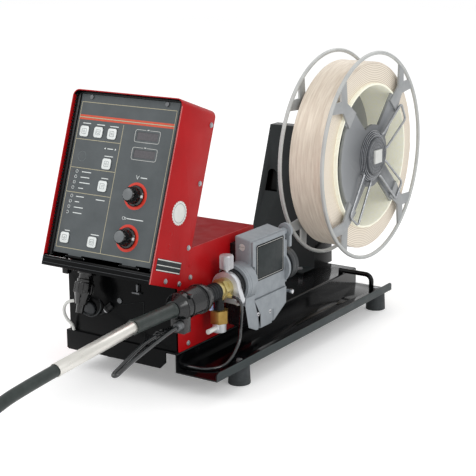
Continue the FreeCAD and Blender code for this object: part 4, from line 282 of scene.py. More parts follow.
@dataclass(frozen=True)
class WoundFinish(Finish):
    """Wire ends seen from the side: fine rings round the reel's axis."""

    rings: float = 85.0

    def cook(self, recipe: Recipe) -> None:
        """Fill the recipe, then lay rings over the colour.

        Args:
            recipe: the material under construction.
        """
        super().cook(recipe)
        wave = recipe.nodes.new("ShaderNodeTexWave")
        wave.wave_type = "RINGS"
        wave.rings_direction = "X"
        wave.inputs["Scale"].default_value = self.rings
        wave.inputs["Distortion"].default_value = 0.8
        wave.inputs["Detail"].default_value = 2.0
        centred = recipe.mapped((1, 1, 1), (0, -REEL_Y / 1000, -REEL_Z / 1000))
        recipe.links.new(centred, wave.inputs["Vector"])
        stops = [
            (0.0, linear(*self.shade)),
            (0.55, linear(*self.tone)),
            (1.0, linear(*(min(255, channel + 14) for channel in self.tone))),
        ]
        recipe.feed("Base Color", recipe.tones(wave.outputs["Fac"], stops))


@dataclass(frozen=True)
class BoardFinish(Finish):
    """Circuit board: lacquer over a maze of paler tracks."""

    track: tuple[int, int, int] = (92, 138, 84)

    def cook(self, recipe: Recipe) -> None:
        """Fill the recipe, then lay the tracks over the colour.

        Args:
            recipe: the material under construction.
        """
        super().cook(recipe)
        brick = recipe.nodes.new("ShaderNodeTexBrick")
        brick.inputs["Scale"].default_value = 60.0
        brick.inputs["Mortar Size"].default_value = 0.03
        brick.inputs["Color1"].default_value = linear(*self.tone)
        brick.inputs["Color2"].default_value = linear(*self.shade)
        brick.inputs["Mortar"].default_value = linear(*self.track)
        recipe.links.new(recipe.mapped((1, 1, 1)), brick.inputs["Vector"])
        recipe.feed("Base Color", brick.outputs["Color"])


@dataclass(frozen=True)
class AxisShadeFinish(Finish):
    """Plastic that darkens towards the reel's axis: painted shade round the collar."""

    core: tuple[int, int, int] = (66, 69, 73)
    reach: tuple[float, float] = (0.04, 0.15)

    def cook(self, recipe: Recipe) -> None:
        """Fill the recipe, then darken the colour towards the axis as painted shade.

        Args:
            recipe: the material under construction.
        """
        super().cook(recipe)
        length = recipe.nodes.new("ShaderNodeVectorMath")
        length.operation = "LENGTH"
        centred = recipe.mapped((0, 1, 1), (0, -REEL_Y / 1000, -REEL_Z / 1000))
        recipe.links.new(centred, length.inputs[0])
        grown = recipe.nodes.new("ShaderNodeMapRange")
        grown.inputs["From Min"].default_value, grown.inputs["From Max"].default_value = self.reach
        recipe.links.new(length.outputs["Value"], grown.inputs["Value"])
        stops = [(0.0, linear(*self.core)), (0.75, linear(*self.shade)), (1.0, linear(*self.tone))]
        recipe.feed("Base Color", recipe.tones(grown.outputs["Result"], stops))


RED = Finish("red_powder_paint", (177, 14, 20), (165, 11, 17), "red_paint",
             (0.36, 0.48), 0, 14, 1100, 0.08, specular=0.2)
BLACK = Finish("black_powder_paint", (9, 10, 11), (6, 7, 8), "black_paint",
               (0.16, 0.26), 0, 12, 1000, 0.05, specular=0.12)
DECK = Finish("black_gloss_paint", (8, 9, 11), (5, 6, 7), "black_paint",
              (0.1, 0.18), 0, 12, 900, 0.05, specular=0.26)
# Painted reflection: a lighter grey for the base's right flange face, where the glossy black paint
# mirrors the bright surroundings.
FLANGE_REFLECTION = Finish("painted_reflection_grey", (62, 69, 70), (52, 59, 60), "black_paint",
             (0.36, 0.48), 0, 12, 900, 0.08, specular=0.2)
# Painted shade: a darker red for the rear cover's top face, the same paint as the hood.
PAINTED_SHADE_RED = Finish("painted_shade_red", (150, 16, 22), (138, 13, 18), "red_paint",
                 (0.5, 0.62), 0, 14, 1100, 0.08, specular=0.06)
# Painted highlight: pale pink for the light caught on the case's right front edge.
PAINTED_HIGHLIGHT_RED = Finish("painted_highlight_red", (226, 150, 146), (214, 132, 128), "red_paint",
                  (0.4, 0.5), 0, 14, 1100, 0.08, specular=0.3)
CLAMP = Finish("gloss_black_rubber", (17, 19, 21), (11, 13, 15), "rubber_black",
               (0.18, 0.3), 0, 60, 1200, 0.12, 0.0002, specular=0.5, coat=0.2)
MAST = Finish("dark_grey_powder_paint", (44, 49, 50), (36, 41, 42), "black_paint",
              (0.42, 0.52), 0, 12, 1000, 0.12, specular=0.2)
PANEL = Finish("grey_panel_film", (94, 99, 101), (86, 91, 93), "grey_panel",
               (0.5, 0.62), 0, 30, 1600, 0.10, specular=0.2)
CAST = Finish("grey_cast_metal", (153, 159, 164), (141, 147, 152), "grey_cast",
              (0.42, 0.58), 0.1, 60, 700, 0.35, 0.0003, specular=0.3)
RUBBER = Finish("black_rubber", (30, 33, 36), (22, 25, 27), "rubber_black",
                (0.36, 0.5), 0, 90, 1400, 0.2, 0.0002, specular=0.3)
FOOT = Finish("grey_black_rubber", (66, 70, 72), (54, 58, 60), "rubber_black",
              (0.5, 0.68), 0, 90, 1400, 0.25, 0.0002, specular=0.3)
HOSE = Finish("dark_hose_jacket", (50, 58, 56), (38, 45, 43), "rubber_black",
              (0.34, 0.46), 0, 70, 1200, 0.15, specular=0.4)
LEAD = Finish("glossy_lead_jacket", (34, 38, 40), (22, 25, 27), "rubber_black",
              (0.16, 0.24), 0, 70, 1200, 0.05, coat=0.9)
STEEL = Finish("bright_steel", (190, 192, 194), (166, 168, 172), "steel",
               (0.3, 0.42), 0.9, 120, 1500, 0.12)
DULL = Finish("dull_screw_steel", (120, 122, 124), (98, 100, 102), "steel",
              (0.4, 0.52), 0.7, 120, 1500, 0.12)
CHROME = Finish("polished_chrome", (226, 228, 230), (208, 210, 214), "chrome",
                (0.08, 0.16), 1.0, 60, 900, 0.03)
OLD_BRASS = Finish("dull_brass", (176, 146, 82), (150, 120, 62), "brass",
                   (0.28, 0.4), 0.85, 60, 900, 0.06)
GLASS = Finish("pale_blue_flow_tube", (176, 192, 226), (120, 138, 190), "white_tube",
               (0.1, 0.18), 0.3, 160, 900, 0.03, coat=0.5)
BRASS = Finish("turned_brass", (216, 201, 146), (188, 171, 112), "brass",
               (0.3, 0.42), 0.85, 60, 900, 0.04)
# The wire's glow is painted light that lifts the shaded lower side of the winding.
WIRE = Finish("pale_copper_wire", (228, 219, 205), (200, 186, 170), "copper_wire",
              (0.3, 0.44), 0.3, 26, 600, 0.1, stretch=(9.0, 0.8, 0.8), painted_glow=0.18)
WIRE_SIDE = WoundFinish("wound_wire_side", (240, 230, 214), (206, 192, 174), "copper_wire",
                        (0.34, 0.48), 0.3, 30, 600, 0.1)
REEL = Finish("light_grey_reel_plastic", (196, 198, 196), (184, 186, 184), "reel_grey",
              (0.3, 0.42), 0, 40, 800, 0.08, coat=0.1)
ARM = Finish("mid_grey_reel_plastic", (158, 160, 161), (146, 149, 151), "reel_grey",
             (0.3, 0.42), 0, 40, 800, 0.08, coat=0.1)
# The hub darkens towards the axis as painted shade.
HUB = AxisShadeFinish("mid_grey_hub_plastic", (156, 158, 160), (136, 139, 142), "black_plastic",
                  (0.3, 0.42), 0, 40, 800, 0.08, coat=0.2)
COLLAR = Finish("dark_grey_collar_plastic", (98, 101, 106), (80, 83, 88), "black_plastic",
                (0.2, 0.3), 0, 40, 800, 0.08, coat=0.3)
# The card's glow is painted light that lifts the shaded inside of the liner.
CARD = Finish("buff_card", (244, 243, 226), (232, 230, 211), "card",
              (0.75, 0.88), 0, 160, 700, 0.3, 0.0003, painted_glow=0.2)
PLASTIC = Finish("black_moulded_plastic", (20, 22, 24), (14, 15, 17), "black_plastic",
                 (0.24, 0.36), 0, 60, 1300, 0.1, specular=0.3)
DARK = Finish("dark_grey_plastic", (48, 51, 54), (38, 41, 43), "black_plastic",
              (0.34, 0.46), 0, 60, 1300, 0.1, specular=0.4)
GLOSS = Finish("gloss_black_knob", (12, 12, 13), (8, 8, 9), "gloss_black",
               (0.08, 0.14), 0, 60, 1300, 0.02, coat=0.6)
FACE = Finish("grey_knob_face", (112, 116, 118), (98, 102, 104), "black_plastic",
              (0.3, 0.4), 0, 60, 1300, 0.05)
KEY = Finish("white_key_plastic", (232, 236, 235), (218, 223, 222), "light_plastic",
             (0.38, 0.5), 0, 200, 1500, 0.08)
CREAM = Finish("cream_print", (196, 188, 158), (186, 178, 148), "light_plastic",
               (0.5, 0.6), 0, 200, 1500, 0.03)
STRIPE = Finish("orange_red_print", (214, 84, 52), (202, 72, 44), "red_paint",
                (0.5, 0.6), 0, 200, 1500, 0.03)
DIAL = Finish("orange_red_dial", (222, 58, 38), (212, 50, 32), "red_paint",
              (0.4, 0.5), 0, 200, 1500, 0.03)
WINDOW = Finish("smoked_window", (97, 95, 98), (87, 85, 88), "window",
                (0.14, 0.22), 0, 300, 1500, 0.03, specular=0.4)
BOARD = BoardFinish("green_board", (26, 92, 52), (22, 82, 46), "board_green",
                    (0.3, 0.42), 0, 200, 1500, 0.05)
PALE = Finish("pale_tube_plastic", (224, 225, 221), (210, 211, 207), "white_tube",
              (0.35, 0.5), 0, 60, 1000, 0.1)
SILVER = Finish("silver_casting", (226, 228, 231), (204, 207, 211), "aluminium",
                (0.3, 0.42), 0.55, 50, 900, 0.15, 0.0002)
ALUMINIUM = Finish("satin_aluminium", (206, 206, 208), (188, 188, 192), "aluminium",
                   (0.3, 0.42), 0.8, 80, 1500, 0.1)
SLEEVE = Finish("silver_sleeve", (240, 238, 232), (224, 222, 215), "chrome",
                (0.26, 0.36), 0.85, 14, 400, 0.04, stretch=(6.0, 1.0, 6.0))
BADGE = Finish("dark_badge", (52, 57, 58), (44, 49, 50), "black_plastic",
               (0.4, 0.5), 0, 60, 1300, 0.04, specular=0.15)
FRAME = Finish("black_badge_border", (20, 22, 23), (15, 16, 17), "black_plastic",
               (0.4, 0.5), 0, 60, 1300, 0.04, specular=0.15)
SYMBOL = Finish("grey_symbol_print", (120, 128, 130), (110, 118, 120), "grey_panel",
                (0.5, 0.6), 0, 200, 1500, 0.03)


# ---- Modelling ----


def only(*items: Item) -> None:
    """Select these objects and nothing else; the last one becomes active."""
    active = bpy.context.view_layer.objects.active
    if active is not None and active.mode != "OBJECT":
        bpy.ops.object.mode_set(mode="OBJECT")
    bpy.ops.object.select_all(action="DESELECT")
    for item in items:
        item.select_set(True)
    bpy.context.view_layer.objects.active = items[-1]


def linked(name: str, data: bpy.types.ID) -> Item:
    """A new object in the scene.

    Args:
        name: its name.
        data: its mesh, curve, lamp or camera.

    Returns:
        The object.
    """
    item = bpy.data.objects.new(name, data)
    bpy.context.scene.collection.objects.link(item)
    return item


def apply(item: Item, place: Matrix | None = None) -> Item:
    """Take an object's place, turn and scale into its mesh.

    Args:
        item: the object.
        place: a frame to put it in first.

    Returns:
        The same object.
    """
    if place is not None:
        item.matrix_world = place
    only(item)
    bpy.ops.object.transform_apply(location=True, rotation=True, scale=True)
    return item


def change(item: Item, kind: str, **settings: object) -> Item:
    """Add a modifier and apply it.

    Args:
        item: the piece.
        kind: the modifier's type.
        settings: its properties.

    Returns:
        The same piece.
    """
    only(item)
    step = item.modifiers.new(kind, kind)
    for name, value in settings.items():
        setattr(step, name, value)
    bpy.ops.object.modifier_apply(modifier=step.name)
    return item


def bevelled(item: Item, edge: float, segments: int = 2, angle: float = 32.0) -> Item:
    """Round a piece's sharp edges.

    Args:
        item: the piece.
        edge: the rounding's width in millimetres.
        segments: facets in the rounding.
        angle: the least angle that is rounded, in degrees.

    Returns:
        The same piece.
    """
    if edge <= 0:
        return item
    return change(item, "BEVEL", width=edge, segments=segments, limit_method="ANGLE",
                  angle_limit=math.radians(angle), miter_outer="MITER_ARC")


def fresh(name: str) -> Item:
    """The object that an operator has just added, under its name.

    Args:
        name: the name.

    Returns:
        The object.
    """
    item = bpy.context.view_layer.objects.active
    item.name = name
    return item


def aimed(point: Point, way: Way | Vector) -> Matrix:
    """A frame at a point whose Z points along a direction.

    Args:
        point: its origin.
        way: the direction.

    Returns:
        The frame.
    """
    target = Vector(way.value) if isinstance(way, Way) else way.normalized()
    turn = Vector((0, 0, 1)).rotation_difference(target).to_matrix().to_4x4()
    return Matrix.Translation(Vector(point)) @ turn


def block(name: str, low: Point, size: Point, edge: float = 0.0, segments: int = 2) -> Item:
    """A box with rounded edges.

    Args:
        name: its name.
        low: its lowest corner.
        size: its width, depth and height.
        edge: the width of its rounding.
        segments: facets in the rounding.

    Returns:
        The box.
    """
    centre = [a + b / 2 for a, b in zip(low, size)]
    bpy.ops.mesh.primitive_cube_add(size=1, location=centre)
    item = fresh(name)
    item.scale = size
    return bevelled(apply(item), edge, segments)


def rod(name: str, start: Point, way: Way | Vector, radius: float, length: float,
        edge: float = 0.0, sides: int = 36, tip: float | None = None) -> Item:
    """A round bar or cone with rounded rims.

    Args:
        name: its name.
        start: the middle of its first face.
        way: where it points.
        radius: its radius.
        length: its length.
        edge: the width of its rims' rounding.
        sides: how many facets go round.
        tip: the far face's radius, where it differs.

    Returns:
        The bar.
    """
    far = radius if tip is None else tip
    bpy.ops.mesh.primitive_cone_add(vertices=sides, radius1=radius, radius2=far, depth=length,
                                    location=(0, 0, length / 2))
    item = apply(fresh(name))
    return bevelled(apply(item, aimed(start, way)), edge, 2, 50.0)


def chain(name: str, points: Sequence[Point]) -> Item:
    """A row of vertices joined by edges, left open in edit mode.

    Args:
        name: its name.
        points: the vertices, in order.

    Returns:
        The object, with every vertex selected.
    """
    bpy.ops.mesh.primitive_plane_add(size=1)
    item = fresh(name)
    bpy.ops.object.mode_set(mode="EDIT")
    bpy.ops.mesh.select_all(action="SELECT")
    bpy.ops.mesh.merge(type="CENTER")
    bpy.ops.transform.translate(value=points[0])
    for before, here in zip(points, points[1:]):
        step = [b - a for a, b in zip(before, here)]
        bpy.ops.mesh.extrude_vertices_move(TRANSFORM_OT_translate={"value": step})
    bpy.ops.mesh.select_all(action="SELECT")
    return item


def sealed(item: Item) -> Item:
    """End a solid's modelling: turn every face outwards and leave edit mode.

    Args:
        item: the solid.

    Returns:
        The same solid.
    """
    bpy.ops.mesh.select_all(action="SELECT")
    bpy.ops.mesh.normals_make_consistent(inside=False)
    bpy.ops.object.mode_set(mode="OBJECT")
    return item


def lathe(name: str, start: Point, way: Way | Vector, outline: Flat, steps: int = 48) -> Item:
    """A turned piece.

    Args:
        name: its name.
        start: where its axis starts.
        way: where its axis points.
        outline: (radius, place along the axis) pairs, from axis to axis or closed.
        steps: facets round the axis.

    Returns:
        The turned piece.
    """
    item = chain(name, [(radius, 0.0, along) for radius, along in outline])
    bpy.ops.mesh.spin(steps=steps, angle=2 * math.pi, center=(0, 0, 0), axis=(0, 0, 1))
    bpy.ops.mesh.select_all(action="SELECT")
    bpy.ops.mesh.remove_doubles(threshold=0.0005)
    return apply(sealed(item), aimed(start, way))


def prism(name: str, outline: Flat, depth: float, place: Matrix = HERE,
          edge: float = 0.0) -> Item:
    """A flat outline raised into a plate.

    Args:
        name: its name.
        outline: corners in the place's own X and Y.
        depth: how far it rises along the place's Z.
        place: its frame.
        edge: the width of its rounding.

    Returns:
        The plate.
    """
    item = chain(name, [(a, b, 0.0) for a, b in outline])
    bpy.ops.mesh.edge_face_add()
    bpy.ops.mesh.extrude_region_move(TRANSFORM_OT_translate={"value": (0, 0, depth)})
    return apply(bevelled(sealed(item), edge), place)


def curved(name: str, points: Sequence[Point], radius: float, facets: int, smooth: bool = True,
           loop: bool = False, resolution: int = 6) -> Item:
    """A round curve along points.

    Args:
        name: its name.
        points: the points it follows.
        radius: its radius.
        facets: how finely it is rounded.
        smooth: whether it curves between the points.
        loop: whether its end joins its start.
        resolution: steps between two points, where it is smooth.

    Returns:
        The curve object.
    """
    curve = bpy.data.curves.new(name, "CURVE")
    curve.dimensions = "3D"
    spline = curve.splines.new("NURBS" if smooth else "POLY")
    spline.points.add(len(points) - 1)
    for knot, point in zip(spline.points, points):
        knot.co = (*point, 1.0)
    if smooth:
        spline.order_u = 3
        spline.resolution_u = resolution
        spline.use_endpoint_u = not loop
        spline.use_smooth = True
    spline.use_cyclic_u = loop
    curve.bevel_depth = radius
    curve.bevel_resolution = facets
    curve.use_fill_caps = True
    return linked(name, curve)


def tube(name: str, points: Sequence[Point], radius: float, smooth: bool = False,
         closed: bool = False, facets: int = 2) -> Item:
    """A round tube along points.

    Args:
        name: its name.
        points: the points it follows.
        radius: the tube's radius.
        smooth: whether it curves between the points.
        closed: whether its end joins its start.
        facets: how finely it is rounded.

    Returns:
        The tube as a mesh.
    """
    only(curved(name, points, radius, facets, smooth, closed))
    bpy.ops.object.convert(target="MESH")
    return fresh(name)


def repeated(item: Item, places: Sequence[Matrix]) -> Item:
    """Copy a model to each place, each copy with its own mesh, and join the copies.

    Args:
        item: the model, which is used up.
        places: where each copy goes.

    Returns:
        The joined copies.
    """
    name = item.name
    copies = [apply(linked(name, item.data.copy()), place) for place in places]
    bpy.data.objects.remove(item)
    return merged(name, *copies)


def merged(name: str, *items: Item) -> Item:
    """Several models as one object.

    Args:
        name: its name.
        items: the models, which are used up.

    Returns:
        The joined object.
    """
    only(*items)
    if len(items) > 1:
        bpy.ops.object.join()
    return fresh(name)


def circle(x: float, y: float, radius: float, steps: int) -> list[tuple[float, float]]:
    """Points round a circle.

    Args:
        x: its middle.
        y: its middle.
        radius: its radius.
        steps: how many points.

    Returns:
        The points, anticlockwise.
    """
    return [(x + radius * math.cos(a), y + radius * math.sin(a))
            for a in (math.tau * k / steps for k in range(steps))]


def star(lobes: int, inner: float, outer: float, sharp: float = 0.5) -> list[tuple[float, float]]:
    """A fluted round outline.

    Args:
        lobes: how many ridges.
        inner: radius between the ridges.
        outer: radius on the ridges.
        sharp: the ridges' share of the way round.

    Returns:
        The outline's corners.
    """
    corners = []
    for lobe in range(lobes):
        for share, radius in ((0, inner), (0.5 - sharp / 2, inner), (0.5 - sharp / 4, outer),
                              (0.5 + sharp / 4, outer), (0.5 + sharp / 2, inner)):
            angle = 2 * math.pi * (lobe + share) / lobes
            corners.append((radius * math.cos(angle), radius * math.sin(angle)))
    return corners


@dataclass
class Assembly:
    """A sub-assembly: the body it rides on, and how its pieces are dressed."""

    body: str = "stand"

    def put(self, item: Item, finish: Finish, *stands_for: str, body: str = "",
            place: Matrix = HERE, smooth: float = 34.0) -> Item:
        """Bring a finished model to its place in metres, give it its finish and let it ride.

        Args:
            item: the model, in millimetres.
            finish: its surface.
            stands_for: the CAD nodes that it replaces.
            body: its body, where it isn't the assembly's.
            place: the frame that it was modelled in.
            smooth: the largest angle between faces that is shaded smooth, in degrees.

        Returns:
            The piece.
        """
        apply(item, METRE @ place)
        bpy.ops.object.shade_smooth_by_angle(angle=math.radians(smooth))
        item.data.materials.clear()
        item.data.materials.append(finish.material())
        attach(item, body or self.body)
        if stands_for:
            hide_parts(*stands_for)
        log.info("%s: %d faces", item.name, len(item.data.polygons))
        return item

    def soften(self, node: str, finish: Finish, edge: float, body: str = "",
               segments: int = 2) -> Item:
        """Replace a CAD node by its own shape, with whole flat faces and rounded edges.

        Args:
            node: the CAD node.
            finish: its surface.
            edge: the width of the rounding.
            body: its body, where it isn't the assembly's.
            segments: facets in the rounding.

        Returns:
            The piece that replaces it.
        """
        item = linked(f"{node}_dressed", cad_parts[node].data.copy())
        apply(item, MILLIMETRE)
        item.data.materials.clear()
        bpy.ops.mesh.customdata_custom_splitnormals_clear()
        bpy.ops.object.mode_set(mode="EDIT")
        bpy.ops.mesh.select_all(action="SELECT")
        bpy.ops.mesh.remove_doubles(threshold=0.002)
        bpy.ops.mesh.dissolve_limited(angle_limit=math.radians(0.5))
        bpy.ops.object.mode_set(mode="OBJECT")
        return self.put(bevelled(item, edge, segments), finish, node, body=body)

    def keep(self, finish: Finish, *nodes: str) -> None:
        """Leave CAD nodes' shapes as they are and give them a finish.

        Args:
            finish: their surface.
            nodes: the nodes.
        """
        for node in nodes:
            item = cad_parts[node]
            item.data.materials.clear()
            item.data.materials.append(finish.material())
            log.info("%s: kept", node)


def repaint(item: Item, finish: Finish, chosen: Callable[[Vector], bool]) -> None:
    """Give some of a piece's faces another finish.

    Args:
        item: the piece, in metres.
        finish: the finish.
        chosen: says of a face's middle, in millimetres, whether it is one of them.
    """
    item.data.materials.append(finish.material())
    index = len(item.data.materials) - 1
    for face in item.data.polygons:
        if chosen(face.center * 1000):
            face.material_index = index


# ---- Stage ----


@dataclass
class Studio:
    """Camera, lamps, world and the pale floor."""

    azimuth: float = math.radians(33.4)
    elevation: float = math.radians(14.5)
    roll: float = math.radians(-0.3)
    place: tuple[float, float, float] = (1.3933, -2.18065, 0.861)
    lens: float = 99.73
    sky: float = 0.78
    lift: float = 0.24
    lamps: tuple[tuple[str, Point, float, float], ...] = (
        ("key_light", (-1.6, -2.6, 3.0), 2.0, 34), ("side_light", (3.2, -1.0, 2.4), 1.4, 26),
        ("back_light", (0.2, 2.8, 2.6), 2.0, 12))

    def build(self) -> None:
        """Set up everything that isn't the object."""
        self.make_camera()
        self.make_world()
        self.make_floor()
        for lamp in self.lamps:
            self.make_lamp(*lamp)
        bpy.context.scene.view_settings.view_transform = "Standard"

    def make_camera(self) -> None:
        """The photograph's viewpoint."""
        back = Vector((
            math.sin(self.azimuth) * math.cos(self.elevation),
            -math.cos(self.azimuth) * math.cos(self.elevation),
            math.sin(self.elevation),
        ))
        level = Vector((math.cos(self.azimuth), math.sin(self.azimuth), 0))
        rise = back.cross(level)
        right = level * math.cos(self.roll) + rise * math.sin(self.roll)
        up = rise * math.cos(self.roll) - level * math.sin(self.roll)
        data = bpy.data.cameras.new("camera")
        data.lens = self.lens
        data.sensor_width = 36.0
        camera = linked("camera", data)
        camera.matrix_world = Matrix.Translation(self.place) @ Matrix(
            (right, up, back)).transposed().to_4x4()
        bpy.context.scene.camera = camera

    def make_world(self) -> None:
        """White to the camera, softer as light and in reflections."""
        world = bpy.data.worlds.new("studio")
        bpy.context.scene.world = world
        world.use_nodes = True
        nodes, links = world.node_tree.nodes, world.node_tree.links
        background = nodes["Background"]
        background.inputs["Color"].default_value = (1, 1, 1, 1)
        rays = nodes.new("ShaderNodeLightPath")
        seen = nodes.new("ShaderNodeMapRange")
        seen.inputs["To Min"].default_value = self.sky
        seen.inputs["To Max"].default_value = 1.0
        links.new(rays.outputs["Is Camera Ray"], seen.inputs["Value"])
        links.new(seen.outputs["Result"], background.inputs["Strength"])

    def make_floor(self) -> None:
        """A large pale floor that keeps the object's shadow."""
        bpy.ops.mesh.primitive_plane_add(size=40, location=(0, 4, 0))
        floor = fresh("floor")
        recipe = Recipe("white_floor")
        recipe.set("Roughness", 0.9)
        recipe.set("Specular IOR Level", 0.0)
        cloud = recipe.noise(0.6, 2.0)
        stops = [(0.3, linear(250, 250, 250)), (0.7, linear(253, 253, 253))]
        recipe.feed("Base Color", recipe.tones(cloud, stops))
        recipe.set("Emission Color", (1, 1, 1, 1))
        rays = recipe.nodes.new("ShaderNodeLightPath")
        lift = recipe.nodes.new("ShaderNodeMath")
        lift.operation = "MULTIPLY"
        lift.inputs[1].default_value = self.lift
        recipe.links.new(rays.outputs["Is Camera Ray"], lift.inputs[0])
        recipe.feed("Emission Strength", lift.outputs["Value"])
        floor.data.materials.append(recipe.material)

    def make_lamp(self, name: str, place: Point, size: float, power: float) -> None:
        """A soft square lamp that faces the object.

        Args:
            name: its name.
            place: where it hangs, in metres.
            size: its side, in metres.
            power: its power, in watts.
        """
        data = bpy.data.lights.new(name, "AREA")
        data.size = size
        data.energy = power
        lamp = linked(name, data)
        aim = Vector((0, 0, 0.2)) - Vector(place)
        lamp.location = place
        lamp.rotation_euler = aim.to_track_quat("-Z", "Y").to_euler()


# ---- Cords ----

GUN_CABLE_ROUTE = [
    (-58, -328.5, 162.74),
    (-58, -399.8, 157.13),
    (-58.5, -486, 146.5),
    (-60, -558, 116),
    (-62, -615, 74),
    (-64, -668, 42),
    (-65.2, -718, 31.9),
    (-66.3, -758, 31.3),
]
TRIGGER_LEAD_ROUTE = [
    (-44, -43.6, 150),
    (-44.6, -71, 147),
    (-46, -103, 140),
    (-47.4, -138, 132.3),
    (-48.6, -172, 124),
    (-49.4, -200, 115.5),
    (-49.6, -217, 110),
    (-58.4, -217, 110),
    (-58.4, -200, 115),
    (-59.2, -176, 123),
    (-60.4, -150, 131.4),
    (-60.8, -123, 138.6),
    (-60, -96, 141.5),
]
SENSE_LEAD_ROUTE = [
    (-36, 104, 164),
    (-27.5, 104, 163.5),
    (-20.5, 104, 159.5),
    (-17, 104.5, 152),
    (-17.5, 106, 141),
    (-21, 110, 127),
    (-26, 116, 113),
    (-29, 119, 99),
    (-27, 114, 81),
    (-25, 98, 67),
    (-23.5, 78, 54.5),
    (-26, 56, 46.8),
    (-40, 36, 45.8),
    (-62, 26, 46),
    (-87, 24, 48),
]
GAS_TUBE_ROUTE = [
    (-301.5, -13, 143),
    (-315, -13, 141.5),
    (-330, -13, 134),
    (-337, -12, 118),
    (-333, -8, 101),
    (-325, -1, 90),
    (-324, 0.9, 78.8),
]


@dataclass(frozen=True)
class Lead:
    """A loose lead: its CAD node, its way, its jacket, and its size in metres."""

    node: str
    route: Sequence[Point]
    finish: Finish
    length: float
    diameter: float


@dataclass
class Cords(Assembly):
    """The gun's cable with its put-away coil, and the loose leads."""

    loop_radius: float = 115.0
    pitch: float = 21.0
    reverse: float = 1.25
    low: float = 10.3
    lead_in: float = 20.0
    steps: int = 16
    leads: tuple[Lead, ...] = (
        Lead("trigger_lead", TRIGGER_LEAD_ROUTE, LEAD, 0.312, 0.0074),
        Lead("sense_lead", SENSE_LEAD_ROUTE, LEAD, 0.24, 0.0062),
        Lead("gas_tube", GAS_TUBE_ROUTE, PALE, 0.091, 0.006))

    def coil_point(self, centre: Vector, turn: float, spread: float = 1.0) -> Vector:
        """A place on the coil.

        Args:
            centre: the coil's middle on the floor.
            turn: how many turns have been made.
            spread: growth of the reach, for a control point outside its curve.

        Returns:
            The place, in millimetres.
        """
        outer = self.loop_radius + self.pitch * self.reverse / 2
        reach = (outer - self.pitch * (self.reverse - abs(turn - self.reverse))) * spread
        share = min(1.0, max(0.0, (turn - self.reverse + 0.25) / 0.5))
        height = self.low + self.pitch * (1 + math.cos(math.pi * share)) / 2
        angle = -2 * math.pi * turn
        return centre + Vector((reach * math.cos(angle), reach * math.sin(angle), height))

    def coil_points(self) -> list[Vector]:
        """The coil's turns: inwards on the upper layer, outwards on the floor.

        Returns:
            The control points, in millimetres.
        """
        outer = self.loop_radius + self.pitch * self.reverse / 2
        slant = Vector((-self.pitch / (2 * math.pi * outer), -1, 0)).normalized()
        begin = stand_point(*GUN_CABLE_ROUTE[-1]) + slant * self.lead_in
        centre = Vector((begin.x - outer, begin.y, 0))
        last = self.reverse * 2
        spread = 1 / math.cos(math.pi / self.steps)
        points = [begin]
        for step in range(int(last * self.steps)):
            points.append(self.coil_point(centre, (step + 0.5) / self.steps, spread))
        end = self.coil_point(centre, last)
        way = self.coil_point(centre, last + 0.001) - self.coil_point(centre, last - 0.001)
        return [*points, end, end + way.normalized() * self.lead_in]

    def lay(self, name: str, points: Sequence[Vector], radius: float, finish: Finish) -> Item:
        """A cord as one smooth open spline.

        Args:
            name: its name.
            points: its control points, in millimetres.
            radius: its radius.
            finish: its surface.

        Returns:
            The curve object.
        """
        item = curved(name, [point * 0.001 for point in points], radius * 0.001, 5, resolution=10)
        item.data.materials.append(finish.material())
        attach(item, self.body)
        return item

    def build(self, gun: Sequence[Item]) -> None:
        """Lay every cord.

        Args:
            gun: the pieces at the gun cable's end; not used.
        """
        route = [stand_point(*p) for p in GUN_CABLE_ROUTE]
        gun_line = self.lay("gun_cable_line", route + self.coil_points(), 10.0, HOSE)
        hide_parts("gun_cable", "cable_coil")
        for lead in self.leads:
            route = [stand_point(*p) for p in lead.route]
            line = self.lay(f"{lead.node}_line", route, lead.diameter * 500, lead.finish)
            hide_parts(lead.node)


# ---- Sub-assemblies ----


def rounded(width: float, height: float, corner: float,
            steps: int = 6) -> list[tuple[float, float]]:
    """A rounded rectangle's outline about its middle.

    Args:
        width: its width.
        height: its height.
        corner: the corners' radius.
        steps: facets in each corner.

    Returns:
        Its corners, anticlockwise.
    """
    points = []
    for quarter, (side, end) in enumerate(((1, 1), (-1, 1), (-1, -1), (1, -1))):
        for step in range(steps + 1):
            angle = math.pi / 2 * (quarter + step / steps)
            points.append((side * (width / 2 - corner) + corner * math.cos(angle),
                           end * (height / 2 - corner) + corner * math.sin(angle)))
    return points


def fluted(name: str, outline: Flat, stations: Flat, place: Matrix = HERE) -> Item:
    """An outline raised in steps, each step scaled.

    Args:
        name: its name.
        outline: corners in the place's own X and Y.
        stations: (rise, scale) of each step.
        place: its frame.

    Returns:
        The closed solid.
    """
    item = chain(name, [(a, b, 0.0) for a, b in outline])
    bpy.ops.mesh.edge_face_add()
    for rise, scale in stations:
        bpy.ops.mesh.extrude_region_move(TRANSFORM_OT_translate={"value": (0, 0, rise)})
        bpy.ops.transform.resize(value=(scale, scale, 1), center_override=(0, 0, 0))
    return apply(sealed(item), place)


def hex_bolt(name: str, radius: float, height: float, washer: float = 0.0) -> Item:
    """A hexagon head with a domed top, on its washer.

    Args:
        name: its name.
        radius: from its middle to a corner.
        height: the whole height, washer included.
        washer: the washer's radius, or 0 for none.

    Returns:
        The head, standing on the origin along Z.
    """
    base = 0.8 if washer else 0.0
    head = prism("head", circle(0, 0, radius, 6), height - base,
                 Matrix.Translation((0, 0, base)))
    crown = lathe("crown", (0, 0, 0), Way.UP,
                  [(0, base), (radius, base), (radius, height - radius * 0.18),
                   (radius * 0.84, height), (0, height)], 36)
    change(head, "BOOLEAN", operation="INTERSECT", object=crown, solver="EXACT")
    bpy.data.objects.remove(crown)
    if not washer:
        return merged(name, head)
    disc = rod("washer", (0, 0, 0), Way.UP, washer, base, 0.2, 36)
    return merged(name, head, disc)


